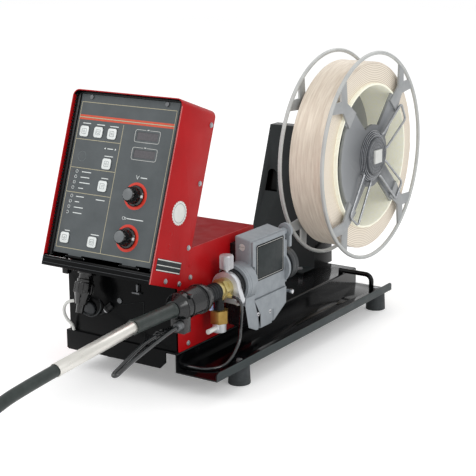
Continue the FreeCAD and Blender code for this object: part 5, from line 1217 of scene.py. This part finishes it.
@dataclass
class Stand(Assembly):
    """The bench stand: sheet frame, front plate, feet, mast and rear handle."""

    foot_bolts: Flat = ((-26, 110), (-26, 645), (-313, 110), (-313, 645))
    mast_bolts: Flat = ((-180, 586), (-310, 586))
    tray_top: float = 42.5
    deck_top: float = 79.0
    mast_web: float = 219.2
    plate_lines: tuple[tuple[Flat, float], ...] = (
        (((-160.7, 84), (-160.7, 110), (-160.7, 136), (-160.7, 159.5)), 1.0),
        (((-160.7, 159.5), (-211, 146)), 0.7))
    strap: tuple[Point, ...] = (
        (-312, -2, 141), (-305, -3, 123.6), (-290, -3, 114.8), (-275.3, -3, 113.6),
        (-263.1, -2, 121), (-256, -1, 131.7), (-257.5, 1, 143), (-263, 4.8, 147))

    def build(self) -> None:
        """Dress the stand."""
        base = self.soften("base_frame", DECK, 0.6)
        # The right flange's outer face gets a lighter grey as a painted reflection.
        repaint(base, FLANGE_REFLECTION, lambda p: p.x > RIGHT - 0.1)
        self.soften("front_plate", BLACK, 0.5)
        mast = self.soften("reel_mast", MAST, 0.5)
        # Painted shade: faces behind the web, above it and on the left return are painted black,
        # while the lit web keeps the dark grey.
        repaint(mast, BLACK, lambda p: p.y > self.mast_web or p.z > 382 or p.x < -163)
        self.soften("rear_handle", DECK, 0.4)
        self.soften("rubber_feet", FOOT, 1.2)
        bolt = hex_bolt("base_bolts_dressed", 5.9, 3.9, 5.9)
        levels = ((self.foot_bolts, self.tray_top), (self.mast_bolts, self.deck_top))
        places = [Matrix.Translation(stand_point(x, y, rise)) for bolts, rise in levels
                  for x, y in bolts]
        self.put(repeated(bolt, places), STEEL, "base_bolts")
        self.make_plate_details()

    def make_plate_details(self) -> None:
        """The fasteners, the lugs and the pressed lines on the front plate."""
        front = FRONT + 4.7
        lines = [tube("plate_line", [stand_point(x, 4.4, z) for x, z in path], radius)
                 for path, radius in self.plate_lines]
        self.put(merged("plate_lines", *lines), FRAME)
        screw = rod("plate_screw", (RIGHT - 215.2, front + 0.2, 153.2), Way.FRONT, 5.2, 2.6, 1.0)
        self.put(screw, DULL)
        foot = block("foot", (RIGHT - 182, front - 8, 174), (17, 8.3, 3.2), 0.5)
        arm = block("arm", (RIGHT - 173.6, front - 6, 176.5), (4.4, 6.3, 15), 0.8)
        self.put(merged("plate_lug", foot, arm), DULL)
        way = Vector((-19.5, -6.0, -18.0)).normalized()
        start = Vector((RIGHT - 239, front + 0.1, 137))
        outline = [(0, -7), (6.4, -7), (6.4, 3.5), (7.4, 4.0), (7.4, 9.0), (5.2, 9.6), (5.2, 14.5),
                   (4.4, 15.0), (4.4, 17.6), (2.2, 18.2), (2.2, 24.5), (0, 24.5)]
        plug = lathe("small_plug", start, way, outline, 28)
        self.put(plug, PLASTIC)
        band = lathe("small_plug_band", start + way * 9.8, way,
                     [(5.3, 0), (5.8, 0.3), (5.8, 1.9), (5.3, 2.2)], 28)
        self.put(band, ALUMINIUM)
        strap = tube("cap_strap", [stand_point(*p) for p in self.strap], 1.3, smooth=True)
        self.put(strap, DARK)
        cap = lathe("plug_cap", (RIGHT - 285, front - 1, 128), Vector((0.1, -1, -0.15)),
                    [(0, 0), (13.0, 0), (13.0, 4.5), (12.0, 5.6), (9.0, 6.2), (0, 6.2)], 40)
        self.put(cap, DARK)
        ear = block("rail_ear", (RIGHT - 330, FRONT - 19, 193), (13, 12, 12), 1.0)
        self.put(ear, PLASTIC)


@dataclass
class ControlCase(Assembly):
    """The red case: hood, rear cover, floor rail, screws and blank plates."""

    right_screws: Flat = (
        (116, 470), (78.5, 371), (41, 262), (45, 207), (-29, 217.5), (11, 203), (36, 86.5))
    left_screws: Flat = ((116, 470), (78.5, 371), (41, 262), (36, 110))
    dimples: Flat = ((-9.6, 298), (-16, 277), (43, 230))
    seal: tuple[float, float] = (15.5, 329.9)
    bend: float = 13.0

    def build(self) -> None:
        """Dress the case."""
        inverse = CASE_FRAME.inverted()
        shell = self.soften("case_shell", RED, 0.7)
        # Painted shade: the hood's inner faces, red sheet in truth, are painted black.
        repaint(shell, BLACK, lambda p: self.inside(inverse @ p))
        # The right wall's front edge gets a pale pink painted highlight.
        repaint(shell, PAINTED_HIGHLIGHT_RED, lambda p: self.on_highlight_edge(inverse @ p))
        cover = self.soften("rear_cover", RED, 0.6)
        # The cover's top face is painted darker red as painted shade.
        repaint(cover, PAINTED_SHADE_RED, lambda p: 259.4 < p.z < 262)
        # The cover's inner faces are painted black too, as painted shade.
        repaint(cover, BLACK, lambda p: (p.y < FRONT + 253 and p.z < 258.5)
                or abs((inverse @ p).y - 103) < 0.3)
        self.soften("case_floor", BLACK, 0.6)
        self.soften("control_plug", GLOSS, 0.4)
        self.make_plug_ribs()
        self.keep(BOARD, "control_board")
        self.make_screws()
        self.make_gasket()
        self.make_plates()
        self.make_rail_highlight_ridges()

    def inside(self, point: Vector) -> bool:
        """Whether a face of the hood is on the hollow's side of its wall, where the red sheet is
        painted black as painted shade.

        Args:
            point: the face's middle, in the case's frame.

        Returns:
            Whether it is.
        """
        half = CASE_WIDE / 2
        across = max(abs(point.x + half) - half + self.bend, 0)
        up = max(point.z - CASE_HIGH + self.bend, 0)
        return math.hypot(across, up) < self.bend - 1.5 and point.y > 3

    def on_highlight_edge(self, point: Vector) -> bool:
        """Whether a face's middle is on the right wall's front edge, which gets a pale pink painted
        highlight.
        """
        return point.x > -2.6 and point.y < 0.8 and point.z < CASE_HIGH - self.bend

    def make_screws(self) -> None:
        """Washer-faced screws on both side walls."""
        low, high = corners("case_screws")
        places = [aimed((high.x - 2.6, FRONT + y, z), Way.RIGHT) for y, z in self.right_screws]
        places += [aimed((low.x + 2.6, FRONT + y, z), Way.LEFT) for y, z in self.left_screws]
        screws = repeated(hex_bolt("case_screws_dressed", 3.9, 2.5, 4.9), places)
        self.put(screws, STEEL, "case_screws")

    def make_gasket(self) -> None:
        """A black ribbed seal round the panel, inside the hood's mouth."""
        strips = [
            block("gasket_left", (-242.15, 8.5, 3), (9.5, 4.5, 297), 0.4),
            block("gasket_right", (-11.6, 8.5, 3), (9.5, 4.5, 297), 0.4),
            block("gasket_top", (-232.6, 8.5, 299.4), (221, 4.5, 3.4), 0.4),
        ]
        for rise in range(6, 298, 6):
            strips += [block("rib", (x, 5.8, rise), (3.6, 3.0, 3.2), 0.3) for x in (-242.1, -5.6)]
        self.put(merged("case_gasket", *strips), PLASTIC, place=CASE_FRAME)
        lining = block("mouth_lining", (-242.3, 0.4, 3), (0.5, 7.6, 296), 0)
        self.put(lining, RED, place=CASE_FRAME)

    def make_plug_ribs(self) -> None:
        """Grip ribs round the plug's nut."""
        nut = [rod("nut_rib", (x, y, -56.5), Way.UP, 1.4, 18.5, 0.4, 10)
               for x, y in circle(-184, 58, 17.2, 12)]
        self.put(merged("plug_ribs", *nut), GLOSS, place=CASE_FRAME)

    def make_rail_highlight_ridges(self) -> None:
        """Two fine ridges along the front rail, lighter grey than the black rail: real ridges,
        their grey a painted highlight.
        """
        ridges = [block("ridge", (-CASE_WIDE, -0.75, rise), (241.4, 1.0, 1.1), 0.25)
                  for rise in (-13.0, -5.0)]
        self.put(merged("rail_highlight_ridges", *ridges), DARK, place=CASE_FRAME)

    def make_plates(self) -> None:
        """Blank plates and pressed marks on the right wall."""
        y, z = self.seal
        wall = CASE_X
        scallops = star(24, 20.2, 21.6, 0.9)
        disc = prism("blank_seal", scallops, 0.5, aimed((wall, FRONT + y, z), Way.RIGHT), 0.1)
        self.put(disc, PALE)
        line = [(wall + 0.5, a, b) for a, b in circle(FRONT + y, z, 17, 40)]
        self.put(tube("blank_seal_ring", line, 0.35, closed=True), SYMBOL)
        plate = block("blank_plate", (0, 8.6, 7.2), (0.6, 73, 21.6), 0.2)
        self.put(plate, BADGE, place=CASE_FRAME)
        borders = [block("rim", (0.4, 9.4, rise), (0.45, 71.4, high), 0.1)
                   for rise, high in ((26.4, 1.7), (7.9, 1.7), (17.0, 1.4))]
        self.put(merged("blank_plate_border", *borders), PALE, place=CASE_FRAME)
        dome = lathe("wall_dimples", (0, 0, 0), Way.UP,
                     [(0, 0), (4.2, 0), (3.2, 0.5), (1.7, 0.85), (0, 0.95)], 28)
        places = [aimed((wall, FRONT + y, z), Way.RIGHT) for y, z in self.dimples]
        self.put(repeated(dome, places), RED)


@dataclass
class ControlPanel(Assembly):
    """The hinged panel: printed lines, windows, keys and two knobs."""

    body: str = "panel"
    face: float = 12.0
    left: float = -228.6
    right: float = -17.7
    low: float = 19.0
    high: float = 284.5
    split: float = -126.5
    thin: float = 0.9
    dividers: tuple[float, ...] = (216.7, 164.7, 119.8)
    key_size: float = 19.4
    key_thick: float = 1.1
    key_travel: float = 1.06
    key_stem: float = 14.8
    keys: Flat = (
        (-211.3, 231.3), (-179.4, 231.8), (-148.1, 231.5), (-148.1, 177.4), (-148.1, 137.2),
        (-211.5, 36.8), (-148.3, 36.2))
    symbols: tuple[Flat, ...] = (
        ((-2.4, -1.8), (0, 2.4), (2.4, -1.8)),
        ((-2.2, -2.2), (2.2, -2.2), (2.2, 2.2), (-2.2, 2.2)),
        ((-2.4, 2), (-0.8, -2), (0.8, 2), (2.4, -2)),
        ((0, -2.6), (2.6, 0), (0, 2.6), (-2.6, 0)),
        ((-2.4, 1.8), (0, -2.4), (2.4, 1.8)),
        ((-2.4, 0), (0.6, 0), (0.6, 2.2), (2.8, -0.4), (0.6, -2.6)),
        ((-2.6, 1.4), (2.6, 1.4), (2.6, -1.4), (-2.6, -1.4)))
    knobs: tuple[tuple[str, float, float], ...] = (
        ("knob_volts", -72.8, 128.4), ("knob_speed", -74.2, 53.6))
    windows: Flat = ((-70.9, 234.0), (-70.9, 202.5))
    labels: tuple[tuple[float, float, float], ...] = (
        (-209.3, 246, 18), (-177, 245.6, 18), (-146.3, 245, 19), (-146.9, 191.2, 19),
        (-146.6, 204.7, 13), (-146.6, 151.3, 15), (-190.1, 158.1, 21), (-191.4, 148.3, 20),
        (-190.2, 138.3, 24), (-196.8, 128.3, 11), (-194.8, 113, 18), (-199.3, 103.3, 10),
        (-193.8, 93.3, 21), (-194.3, 83.3, 20), (-148, 112, 20), (-209.3, 49.9, 11),
        (-145.8, 49.8, 18), (-62, 161.3, 14), (-65, 87.5, 36))
    rings: Flat = (
        (-211.8, 158.1), (-212.8, 148.3), (-213.8, 138.3), (-214.8, 128.3),
        (-213.8, 113), (-214.8, 103.3), (-215.8, 93.3), (-216.8, 83.3))

    def build(self) -> None:
        """Dress the panel and everything on it."""
        plate = self.soften("front_panel", PANEL, 0.35)
        inverse = CASE_FRAME.inverted()
        repaint(plate, DULL, lambda p: (inverse @ p).z > 285 and (inverse @ p).y < self.face - 0.15)
        repaint(plate, BLACK, lambda p: (inverse @ p).z < 9.5)
        self.keep(WINDOW, "panel_lenses")
        self.make_lines()
        self.make_window_frames()
        self.make_labels()
        for number, (x, rise) in enumerate(self.keys, 1):
            self.make_key(number, x, rise)
        for name, x, rise in self.knobs:
            self.make_knob(name, x, rise)

    def strip(self, x: float, rise: float, width: float, height: float,
              proud: float = 0.15) -> Item:
        """A thin printed bar about a middle point on the panel's face."""
        return block("bar", (x - width / 2, self.face - proud, rise - height / 2),
                     (width, proud, height))

    def drawn(self, points: Flat, radius: float, loop: bool = True, facets: int = 1,
              proud: float = 0.1) -> Item:
        """A thin printed line on the panel's face.

        Args:
            points: places across and up the panel.
            radius: half the line's width.
            loop: whether its end joins its start.
            facets: how finely it is rounded.
            proud: how far its middle lies in front of the face.

        Returns:
            The line.
        """
        path = [(x, self.face - proud, rise) for x, rise in points]
        return tube("drawn_line", path, radius, closed=loop, facets=facets)

    def make_lines(self) -> None:
        """Border, dividers and the double stripe."""
        middle, wide = (self.left + self.right) / 2, self.right - self.left
        thin, split = self.thin, self.split
        column = (self.left + split) / 2
        bars = [self.strip(middle, rise, wide, thin) for rise in (self.high, self.low)]
        bars += [self.strip(x, (self.low + self.high) / 2, thin, self.high - self.low)
                 for x in (self.left, self.right)]
        bars.append(self.strip(split, (self.low + 250) / 2, thin, 250 - self.low))
        bars.append(self.strip(middle, 257.0, wide, 1.4, 0.2))
        bars += [self.strip(column, rise, split - self.left, thin) for rise in self.dividers]
        self.put(merged("panel_lines", *bars), CREAM, place=CASE_FRAME)
        stripes = [self.strip(middle, rise, wide, 3.2, 0.12) for rise in (259.7, 254.3)]
        self.put(merged("panel_stripes", *stripes), STRIPE, place=CASE_FRAME)

    def make_window_frames(self) -> None:
        """Fine rounded lines round the two windows, open at the top."""
        frames = []
        for x, rise in self.windows:
            outline = rounded(54, 21.8, 4.0)
            gap = 4.5
            start = next(k for k, (a, b) in enumerate(outline) if a < 0 and b > 10)
            path = [(-gap, 10.9), *outline[start:], *outline[:start], (gap, 10.9)]
            path = [(x + a, rise + b) for a, b in path]
            frames += [self.drawn(path, 0.4, loop=False, facets=2),
                       self.strip(x, rise + 11.4, 4.0, 1.5)]
        self.put(merged("window_frames", *frames), PALE, place=CASE_FRAME)

    def make_labels(self) -> None:
        """Plain bars, arrows and rings where the printed marks are."""
        marks = [self.strip(x, rise, width, 1.5) for x, rise, width in self.labels]
        for side in (-1, 1):
            marks.append(prism("arrow", [(0, -1.8), (3.2 * side, 0), (0, 1.8)], 0.15,
                               Matrix.Translation((-146.6 + 10.5 * side, self.face, 204.7))
                               @ UPRIGHT))
        marks += [self.drawn(circle(x, rise, 2.6, 16), 0.4) for x, rise in self.rings]
        low = (-75.5, 158.2)
        marks += [self.drawn(ends, 0.55, loop=False)
                  for ends in (((-78.6, 164.7), low), (low, (-72.4, 164.7)))]
        marks += [self.drawn(circle(x, 87.5, radius, 16), 0.4)
                  for x, radius in ((-90, 2.6), (-86, 1.8))]
        self.put(merged("panel_marks", *marks), KEY, place=CASE_FRAME)
        faint = self.drawn(circle(-207, 186, 9, 32), 0.4, facets=2, proud=0.05)
        self.put(merged("panel_faint_ring", faint), SYMBOL, place=CASE_FRAME)

    def make_key(self, number: int, x: float, rise: float) -> None:
        """A soft square key with its own pictogram.

        Args:
            number: the key's number.
            x: its middle across the panel.
            rise: its middle up the panel.
        """
        name = f"key_{number}"
        size, thick, half = self.key_size, self.key_thick, self.key_stem / 2
        front = self.face - self.key_travel - thick
        cap = prism("cap", rounded(size, size, 4.2), thick,
                    Matrix.Translation((x, front, rise)) @ UPRIGHT
                    @ Matrix.Translation((0, 0, -thick)), 0.4)
        stem = block("stem", (x - half, front + thick / 2, rise - half),
                     (self.key_stem, 6.0, self.key_stem))
        self.put(merged(f"{name}_cap", cap, stem), KEY, name, body=name, place=CASE_FRAME)
        box, symbol = rounded(9.4, 9.4, 1.2, 3), self.symbols[number - 1]
        lines = [self.drawn([(x + a, rise + b) for a, b in outline], radius,
                            proud=self.face - front + 0.02)
                 for outline, radius in ((box, 0.32), (symbol, 0.34))]
        self.put(merged(f"{name}_mark", *lines), SYMBOL, body=name, place=CASE_FRAME)

    def make_knob(self, name: str, x: float, rise: float) -> None:
        """A skirted, fluted knob over its coloured dial ring.

        Args:
            name: its CAD node and body.
            x: its middle across the panel.
            rise: its middle up the panel.
        """
        ring = lathe(f"{name}_dial", (x, self.face, rise), Way.FRONT,
                     [(19.4, 0), (24.2, 0), (24.2, 0.25), (19.4, 0.25), (19.4, 0)], 72)
        inner = rod("inner", (x, self.face, rise), Way.FRONT, 19.5, 0.25, 0, 60)
        self.put(merged(f"{name}_dial", ring, inner), DIAL, place=CASE_FRAME)
        foot = self.face - 1.3
        base = Matrix.Translation((x, foot, rise)) @ UPRIGHT
        skirt = lathe("skirt", (x, foot, rise), Way.FRONT,
                      [(0, 0), (18.6, 0), (19, 0.4), (19, 1.6), (18.2, 3.0), (15.6, 4.9),
                       (0, 4.9)], 72)
        grip = fluted("grip", star(15, 13.9, 15.3, 0.55),
                      [(4.8, 1.0), (12.6, 0.9), (4.2, 0.87), (0.9, 0.93)], base)
        shaft = rod("shaft", (x, foot + 8.8, rise), Way.FRONT, 3, 9)
        self.put(merged(f"{name}_body", skirt, grip, shaft), GLOSS, name, body=name,
                 place=CASE_FRAME)
        cap = lathe(f"{name}_cap", (x, foot - 22.45, rise), Way.FRONT,
                    [(0, 0), (10.4, 0), (10.4, 0.3), (9.6, 0.55), (0, 0.55)], 48)
        self.put(cap, FACE, body=name, place=CASE_FRAME)
        pointer = block(f"{name}_pointer", (x + 14.6, foot - 5.2, rise - 2.4), (3.9, 3.6, 4.8), 0.5)
        self.put(pointer, KEY, body=name, place=CASE_FRAME)


@dataclass
class FeedHead(Assembly):
    """The cast feed head with its door, rolls, gear case and motor."""

    ridges: tuple[float, ...] = (142.0, 149.0)
    body_screws: Flat = ((181.0, 111.0), (222.0, 106.0))

    def build(self) -> None:
        """Dress the head."""
        housing = self.soften("feed_housing", CAST, 1.6, segments=3)
        repaint(housing, PLASTIC, lambda p: p.x < 138 and p.y < FRONT + 170 and p.z < 134
                and p.y + 0.42 * (p.z - 88) < FRONT + 167)
        self.soften("mount_flange", PLASTIC, 1.0)
        self.soften("gear_case", CAST, 1.0)
        self.soften("wire_guides", DARK, 0.6)
        self.soften("drive_motor", BLACK, 1.0)
        self.soften("feed_door", CAST, 0.7, body="feed_door")
        self.keep(STEEL, "hinge_pins", "drive_roll", "idle_roll", "motor_pinion", "drive_gear")
        self.soften("idle_arm", CAST, 0.5, body="idle_arm")
        # The pressure screw is plain pale white, a painted highlight for a bright metal screw head.
        self.soften("pressure_screw", PALE, 0.6, body="pressure_screw")
        self.soften("release_lever", CAST, 1.0, body="release_lever")
        self.make_front()
        self.make_rear()
        self.make_badge()

    def make_front(self) -> None:
        """Ridge rings round the front boss and the screw beside it."""
        rings = [lathe("ridge", (FEED_X, FRONT + along, FEED_Z), Way.BACK,
                       [(35.2, -1.5), (36.6, -1.0), (36.9, 0), (36.6, 1.0), (35.2, 1.5)], 72)
                 for along in self.ridges]
        self.put(merged("boss_ridges", *rings), CAST)
        for number, (along, rise) in enumerate(self.body_screws, 1):
            head = lathe(f"body_screw_{number}", (139.3, FRONT + along, rise), Way.RIGHT,
                         [(0, 0), (4.2, 0), (4.2, 0.5), (3.6, 1.1), (0, 1.1)], 28)
            self.put(head, ALUMINIUM)
            slot = block(f"body_screw_slot_{number}", (139.9, FRONT + along - 3.3, rise - 0.7),
                         (0.65, 6.6, 1.4))
            self.put(slot, FRAME)
        hanger = block("pin_hanger", (117, FRONT + 279, 118), (9, 22, 19), 1.5)
        self.put(hanger, CAST)
        pin = lathe("rear_pin", (125.5, FRONT + 294.5, 127), Way.RIGHT,
                    [(0, 0), (4.7, 0), (4.7, 18.5), (4.2, 20.2), (2.6, 21), (0, 21)], 36)
        self.put(pin, CHROME)

    def make_rear(self) -> None:
        """The boss ring behind the head and the disc's lip."""
        ring = lathe("rear_boss", (FEED_X, FRONT + 280.5, FEED_Z), Way.BACK,
                     [(26, 0), (34.5, 0), (35.4, 1.2), (34.8, 6.4), (33.6, 7.4), (26, 7.4),
                      (26, 0)], 72)
        self.put(ring, CAST)
        back = corners("wire_guides")[1].y
        lip = lathe("disc_lip", (FEED_X, back - 16.2, FEED_Z), Way.BACK,
                    [(13, 0), (32.4, 0), (33.0, 0.8), (33.0, 9.5), (32.0, 10.4), (29.5, 10.6),
                     (28.6, 9.4), (13, 8.8), (13, 0)], 72)
        self.put(lip, DARK)

    def make_badge(self) -> None:
        """The door's blank plate with a fine border."""
        place = (Matrix.Translation((136.95, FRONT + 226.5, 208))
                 @ Matrix.Rotation(math.pi / 2, 4, "Z") @ UPRIGHT)
        plate = prism("door_badge", rounded(96, 69, 4), 0.35, place, 0.1)
        self.put(plate, FRAME, body="feed_door")
        inner = prism("door_badge_face", rounded(85, 58, 2), 0.2,
                      place @ Matrix.Translation((0, 0, 0.3)), 0.05)
        self.put(inner, BADGE, body="feed_door")
        line = [place @ Vector((a, b, 0.35)) for a, b in rounded(90, 63, 3, 4)]
        self.put(tube("door_badge_line", line, 0.4, closed=True, facets=1), PALE,
                 body="feed_door")


@dataclass
class GunConnection(Assembly):
    """Bushing, thumb screw, connector, valve, boots and sleeve."""

    boot_back: float = FRONT + 83.98
    boot_length: float = 44.0
    boot_radius: float = 15.0
    rib_height: float = 1.6
    rib_pitch: float = 7.3
    grip_back: float = FRONT - 48.02
    straps: Flat = ((23.5, 25.4), (-16.0, 25.4), (-30.5, 25.2))
    bushing_screw: tuple[float, float, float] = (-29.3, 112.2, 153.6)

    def build(self) -> None:
        """Dress the connection."""
        self.soften("gun_bushing", SILVER, 0.8)
        self.soften("gun_connector", BRASS, 0.5)
        valve = self.soften("gas_valve", OLD_BRASS, 0.8)
        repaint(valve, SILVER, lambda p: p.z < 114.6)
        repaint(valve, PALE, lambda p: p.z < 112 and p.y < FRONT + 78)
        repaint(valve, PLASTIC, lambda p: p.z > 139.5)
        self.make_gap_shade()
        self.soften("boot_clamp", CLAMP, 1.0)
        self.make_clamp_details()
        self.soften("cable_sleeve", SLEEVE, 0.4)
        self.make_boots()
        self.make_thumb_screw()

    def make_gap_shade(self) -> None:
        """A black ring behind the bushing as painted shade in the gap before the boss, and the
        bushing's clamping screw.
        """
        collar = lathe("bushing_gap_shade", (FEED_X, FRONT + 124.1, FEED_Z), Way.BACK,
                       [(20.5, 0), (30.0, 0), (30.6, 0.6), (30.6, 11.0), (20.5, 11.0),
                        (20.5, 0)], 64)
        self.put(collar, PLASTIC)
        place = stand_point(*self.bushing_screw)
        screw = lathe("bushing_screw", place, Way.FRONT,
                      [(2.2, 1.2), (4.6, 1.2), (4.9, 0.8), (4.9, -1.0), (0, -1.0)], 24)
        self.put(screw, STEEL)
        hollow = rod("bushing_screw_socket", place + Vector((0, 0.4, 0)), Way.FRONT, 2.3, 1.2, 0, 6)
        self.put(hollow, FRAME)

    def make_clamp_details(self) -> None:
        """Straps round the clamp, the lead's collar and the fitting beside the valve."""
        for (along, radius), finish in zip(self.straps, (CLAMP, FRAME, CLAMP)):
            strap = lathe("clamp_strap", (FEED_X, FRONT + along, FEED_Z), Way.FRONT,
                          [(radius - 1, 0), (radius + 0.4, 0.3), (radius + 0.8, 1.6),
                           (radius + 0.4, 2.9), (radius - 1, 3.2)], 64)
            self.put(strap, finish)
        latch = block("strap_latch", (FEED_X + 13, FRONT - 24, FEED_Z + 17.5), (8, 6.5, 6), 0.8)
        self.put(latch, CLAMP)
        collar = lathe("lead_collar", stand_point(-44, -43.6, 150.3), Vector((-1.3, -27.4, -3.0)),
                       [(0, 0), (7.3, 0), (7.6, 0.5), (7.6, 5.0), (7.0, 5.4), (7.0, 6.6),
                        (7.6, 7.0), (7.6, 12.4), (6.9, 13.2), (4.6, 13.6), (0, 13.6)], 36)
        self.put(collar, DULL)
        fitting = lathe("flow_fitting", stand_point(-69.5, 84, 139.1), Way.UP,
                        [(0, 0), (5.4, 0), (5.4, 3.5), (4.6, 4.2), (4.6, 15), (5.2, 15.8),
                         (5.2, 19), (3.0, 20.5), (0, 20.5)], 32)
        self.put(fitting, GLASS)

    def make_boots(self) -> None:
        """The ribbed short boot and the smooth grip with its rolled rim."""
        outline = [(0.0, 0.0)]
        steps = int(self.boot_length / self.rib_pitch * 10)
        for step in range(steps + 1):
            along = self.boot_length * step / steps
            wave = max(0.0, math.sin(2 * math.pi * along / self.rib_pitch)) ** 0.7
            outline.append((self.boot_radius + self.rib_height * wave, along))
        outline.append((0.0, self.boot_length))
        short = lathe("short_boot", (FEED_X, self.boot_back, FEED_Z), Way.FRONT, outline, 40)
        self.put(short, RUBBER, "cable_boots")
        long = self.grip_back - corners("cable_boots")[0].y
        grip = lathe("long_boot", (FEED_X, self.grip_back, FEED_Z), Way.FRONT,
                     [(0, 0), (13.4, 0), (14.0, 0.8), (14.0, 3.4), (13.4, 4.2), (12.9, 5.0),
                      (12.7, 10), (12.7, long - 2.5), (13.3, long - 2), (13.3, long - 0.6),
                      (12.8, long), (0, long)], 48)
        self.put(grip, HOSE)

    def make_thumb_screw(self) -> None:
        """The knurled clamping screw on the bushing."""
        y = FRONT + 118
        stem = rod("stem", (FEED_X, y, 194.5), Way.UP, 4, 17, 0.3)
        knob = fluted("knob", star(28, 12.2, 12.95, 0.6), [(2.0, 1.0), (20.0, 1.0), (2.0, 0.9)],
                      Matrix.Translation((FEED_X, y, 211.5)))
        collar = rod("collar", (FEED_X, y, 208.5), Way.UP, 9, 3.2, 0.5)
        self.put(merged("thumb_screw_dressed", stem, knob, collar), ALUMINIUM, "thumb_screw",
                 body="thumb_screw")


@dataclass
class Reel(Assembly):
    """The wire reel with its support and its winding."""

    body: str = "reel"
    turns: int = 40
    wire: float = 1.9
    winding_radius: float = 195.15
    winding_left: float = 45.0
    winding_wide: float = 78.0
    per_turn: int = 24
    plate_reach: float = 207.0
    collar_face: float = 142.8
    collar_highlight_rings: tuple[float, ...] = (36.0, 30.0, 24.0)
    side_highlight_rings: tuple[float, ...] = (133.5, 138.5)
    hub_face: float = 130.4
    hub_bore: float = 40.2
    hub_steps: Flat = ((53.5, 1.8), (50.4, 4.0), (47.2, 6.2), (44.0, 8.2))

    def build(self) -> None:
        """Dress the reel."""
        sides = self.soften("reel_sides", REEL, 0.4)
        repaint(sides, ARM, lambda p: math.hypot(p.y - REEL_Y, p.z - REEL_Z) < self.plate_reach)
        self.soften("reel_hub", HUB, 0.5)
        self.soften("coil_liner", CARD, 0.3)
        self.keep(WIRE_SIDE, "wire_core")
        self.keep(STEEL, "wire_clips", "spindle")
        self.soften("retaining_collar", COLLAR, 0.8, body="stand")
        self.make_collar_highlight_rings()
        self.make_hub_steps()
        self.soften("release_bar", PALE, 0.8, body="release_bar")
        self.make_winding()

    def make_winding(self) -> None:
        """The outer layer as one wire laid turn beside turn, on a plain bed."""
        left = self.winding_left + self.wire / 2
        pitch = (self.winding_wide - self.wire) / self.turns
        reach = self.winding_radius / math.cos(math.pi / self.per_turn)
        path = []
        for step in range(self.turns * self.per_turn + 1):
            angle = math.tau * step / self.per_turn
            path.append((left + pitch * step / self.per_turn,
                         REEL_Y + reach * math.cos(angle), REEL_Z + reach * math.sin(angle)))
        coil = tube("wire_winding", path, self.wire / 2, smooth=True, facets=1)
        self.put(coil, WIRE, "wire_layer", smooth=60)
        inner, outer, wide = 192.4, self.winding_radius - 0.1, self.winding_wide - 0.4
        bed = self.turned("wire_bed", self.winding_left + 0.2,
                          [(inner, 0), (outer, 0), (outer, wide), (inner, wide), (inner, 0)], 144)
        self.put(bed, WIRE)

    def turned(self, name: str, x: float, outline: Flat, steps: int = 72) -> Item:
        """A turned piece on the reel's axis, from a place across the reel."""
        return lathe(name, (x, REEL_Y, REEL_Z), Way.RIGHT, outline, steps)

    def make_collar_highlight_rings(self) -> None:
        """Raised metal rings on the retaining collar's face and side; their brightness is a painted
        highlight of the collar's edges.
        """
        outer = corners("retaining_collar")[1].z - REEL_Z
        rings = [self.turned("collar_highlight_ring", self.collar_face,
                             [(radius - 1.2, 0), (radius - 0.5, 0.9), (radius + 0.5, 0.9),
                              (radius + 1.2, 0)], 64)
                 for radius in self.collar_highlight_rings]
        rings += [self.turned("side_highlight_ring", x,
                              [(outer - 0.5, -0.8), (outer + 0.5, -0.5), (outer + 0.5, 0.5),
                               (outer - 0.5, 0.8)], 64)
                  for x in self.side_highlight_rings]
        self.put(merged("collar_highlight_rings", *rings), DULL, body="stand")

    def make_hub_steps(self) -> None:
        """The hub's stepped flange round the retaining collar, with bright steel strips on its step
        edges as painted highlight.
        """
        outline = [(self.hub_bore, 0.0)]
        for radius, along in self.hub_steps:
            outline += [(radius, outline[-1][1]), (radius, along)]
        outline += [(self.hub_bore, self.hub_steps[-1][1]), (self.hub_bore, 0.0)]
        self.put(self.turned("hub_flange", self.hub_face, outline), COLLAR)
        edges = [self.turned("edge", self.hub_face + along - 0.2,
                             [(radius - 0.5, -0.3), (radius + 0.3, -0.3), (radius + 0.3, 0.4),
                              (radius - 0.5, 0.5)])
                 for radius, along in self.hub_steps]
        self.put(merged("hub_flange_highlight_edges", *edges), STEEL)


@dataclass
class WeldingGun(Assembly):
    """The gun that lies at the cable's end."""

    def build(self) -> tuple[Item, Item]:
        """Dress the gun and its trigger.

        Returns:
            The gun and the trigger.
        """
        self.keep(RUBBER, "welding_gun")
        self.keep(PLASTIC, "gun_trigger")
        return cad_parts["welding_gun"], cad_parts["gun_trigger"]


def main() -> None:
    """Build everything in order."""
    logging.basicConfig(level=logging.INFO, format="%(message)s")
    Studio().build()
    gun = WeldingGun().build()
    Cords().build(gun)
    for assembly in (Stand(), ControlCase(), ControlPanel(), FeedHead(), GunConnection(), Reel()):
        log.info("%s", type(assembly).__name__)
        assembly.build()


if __name__ == "__main__":
    main()
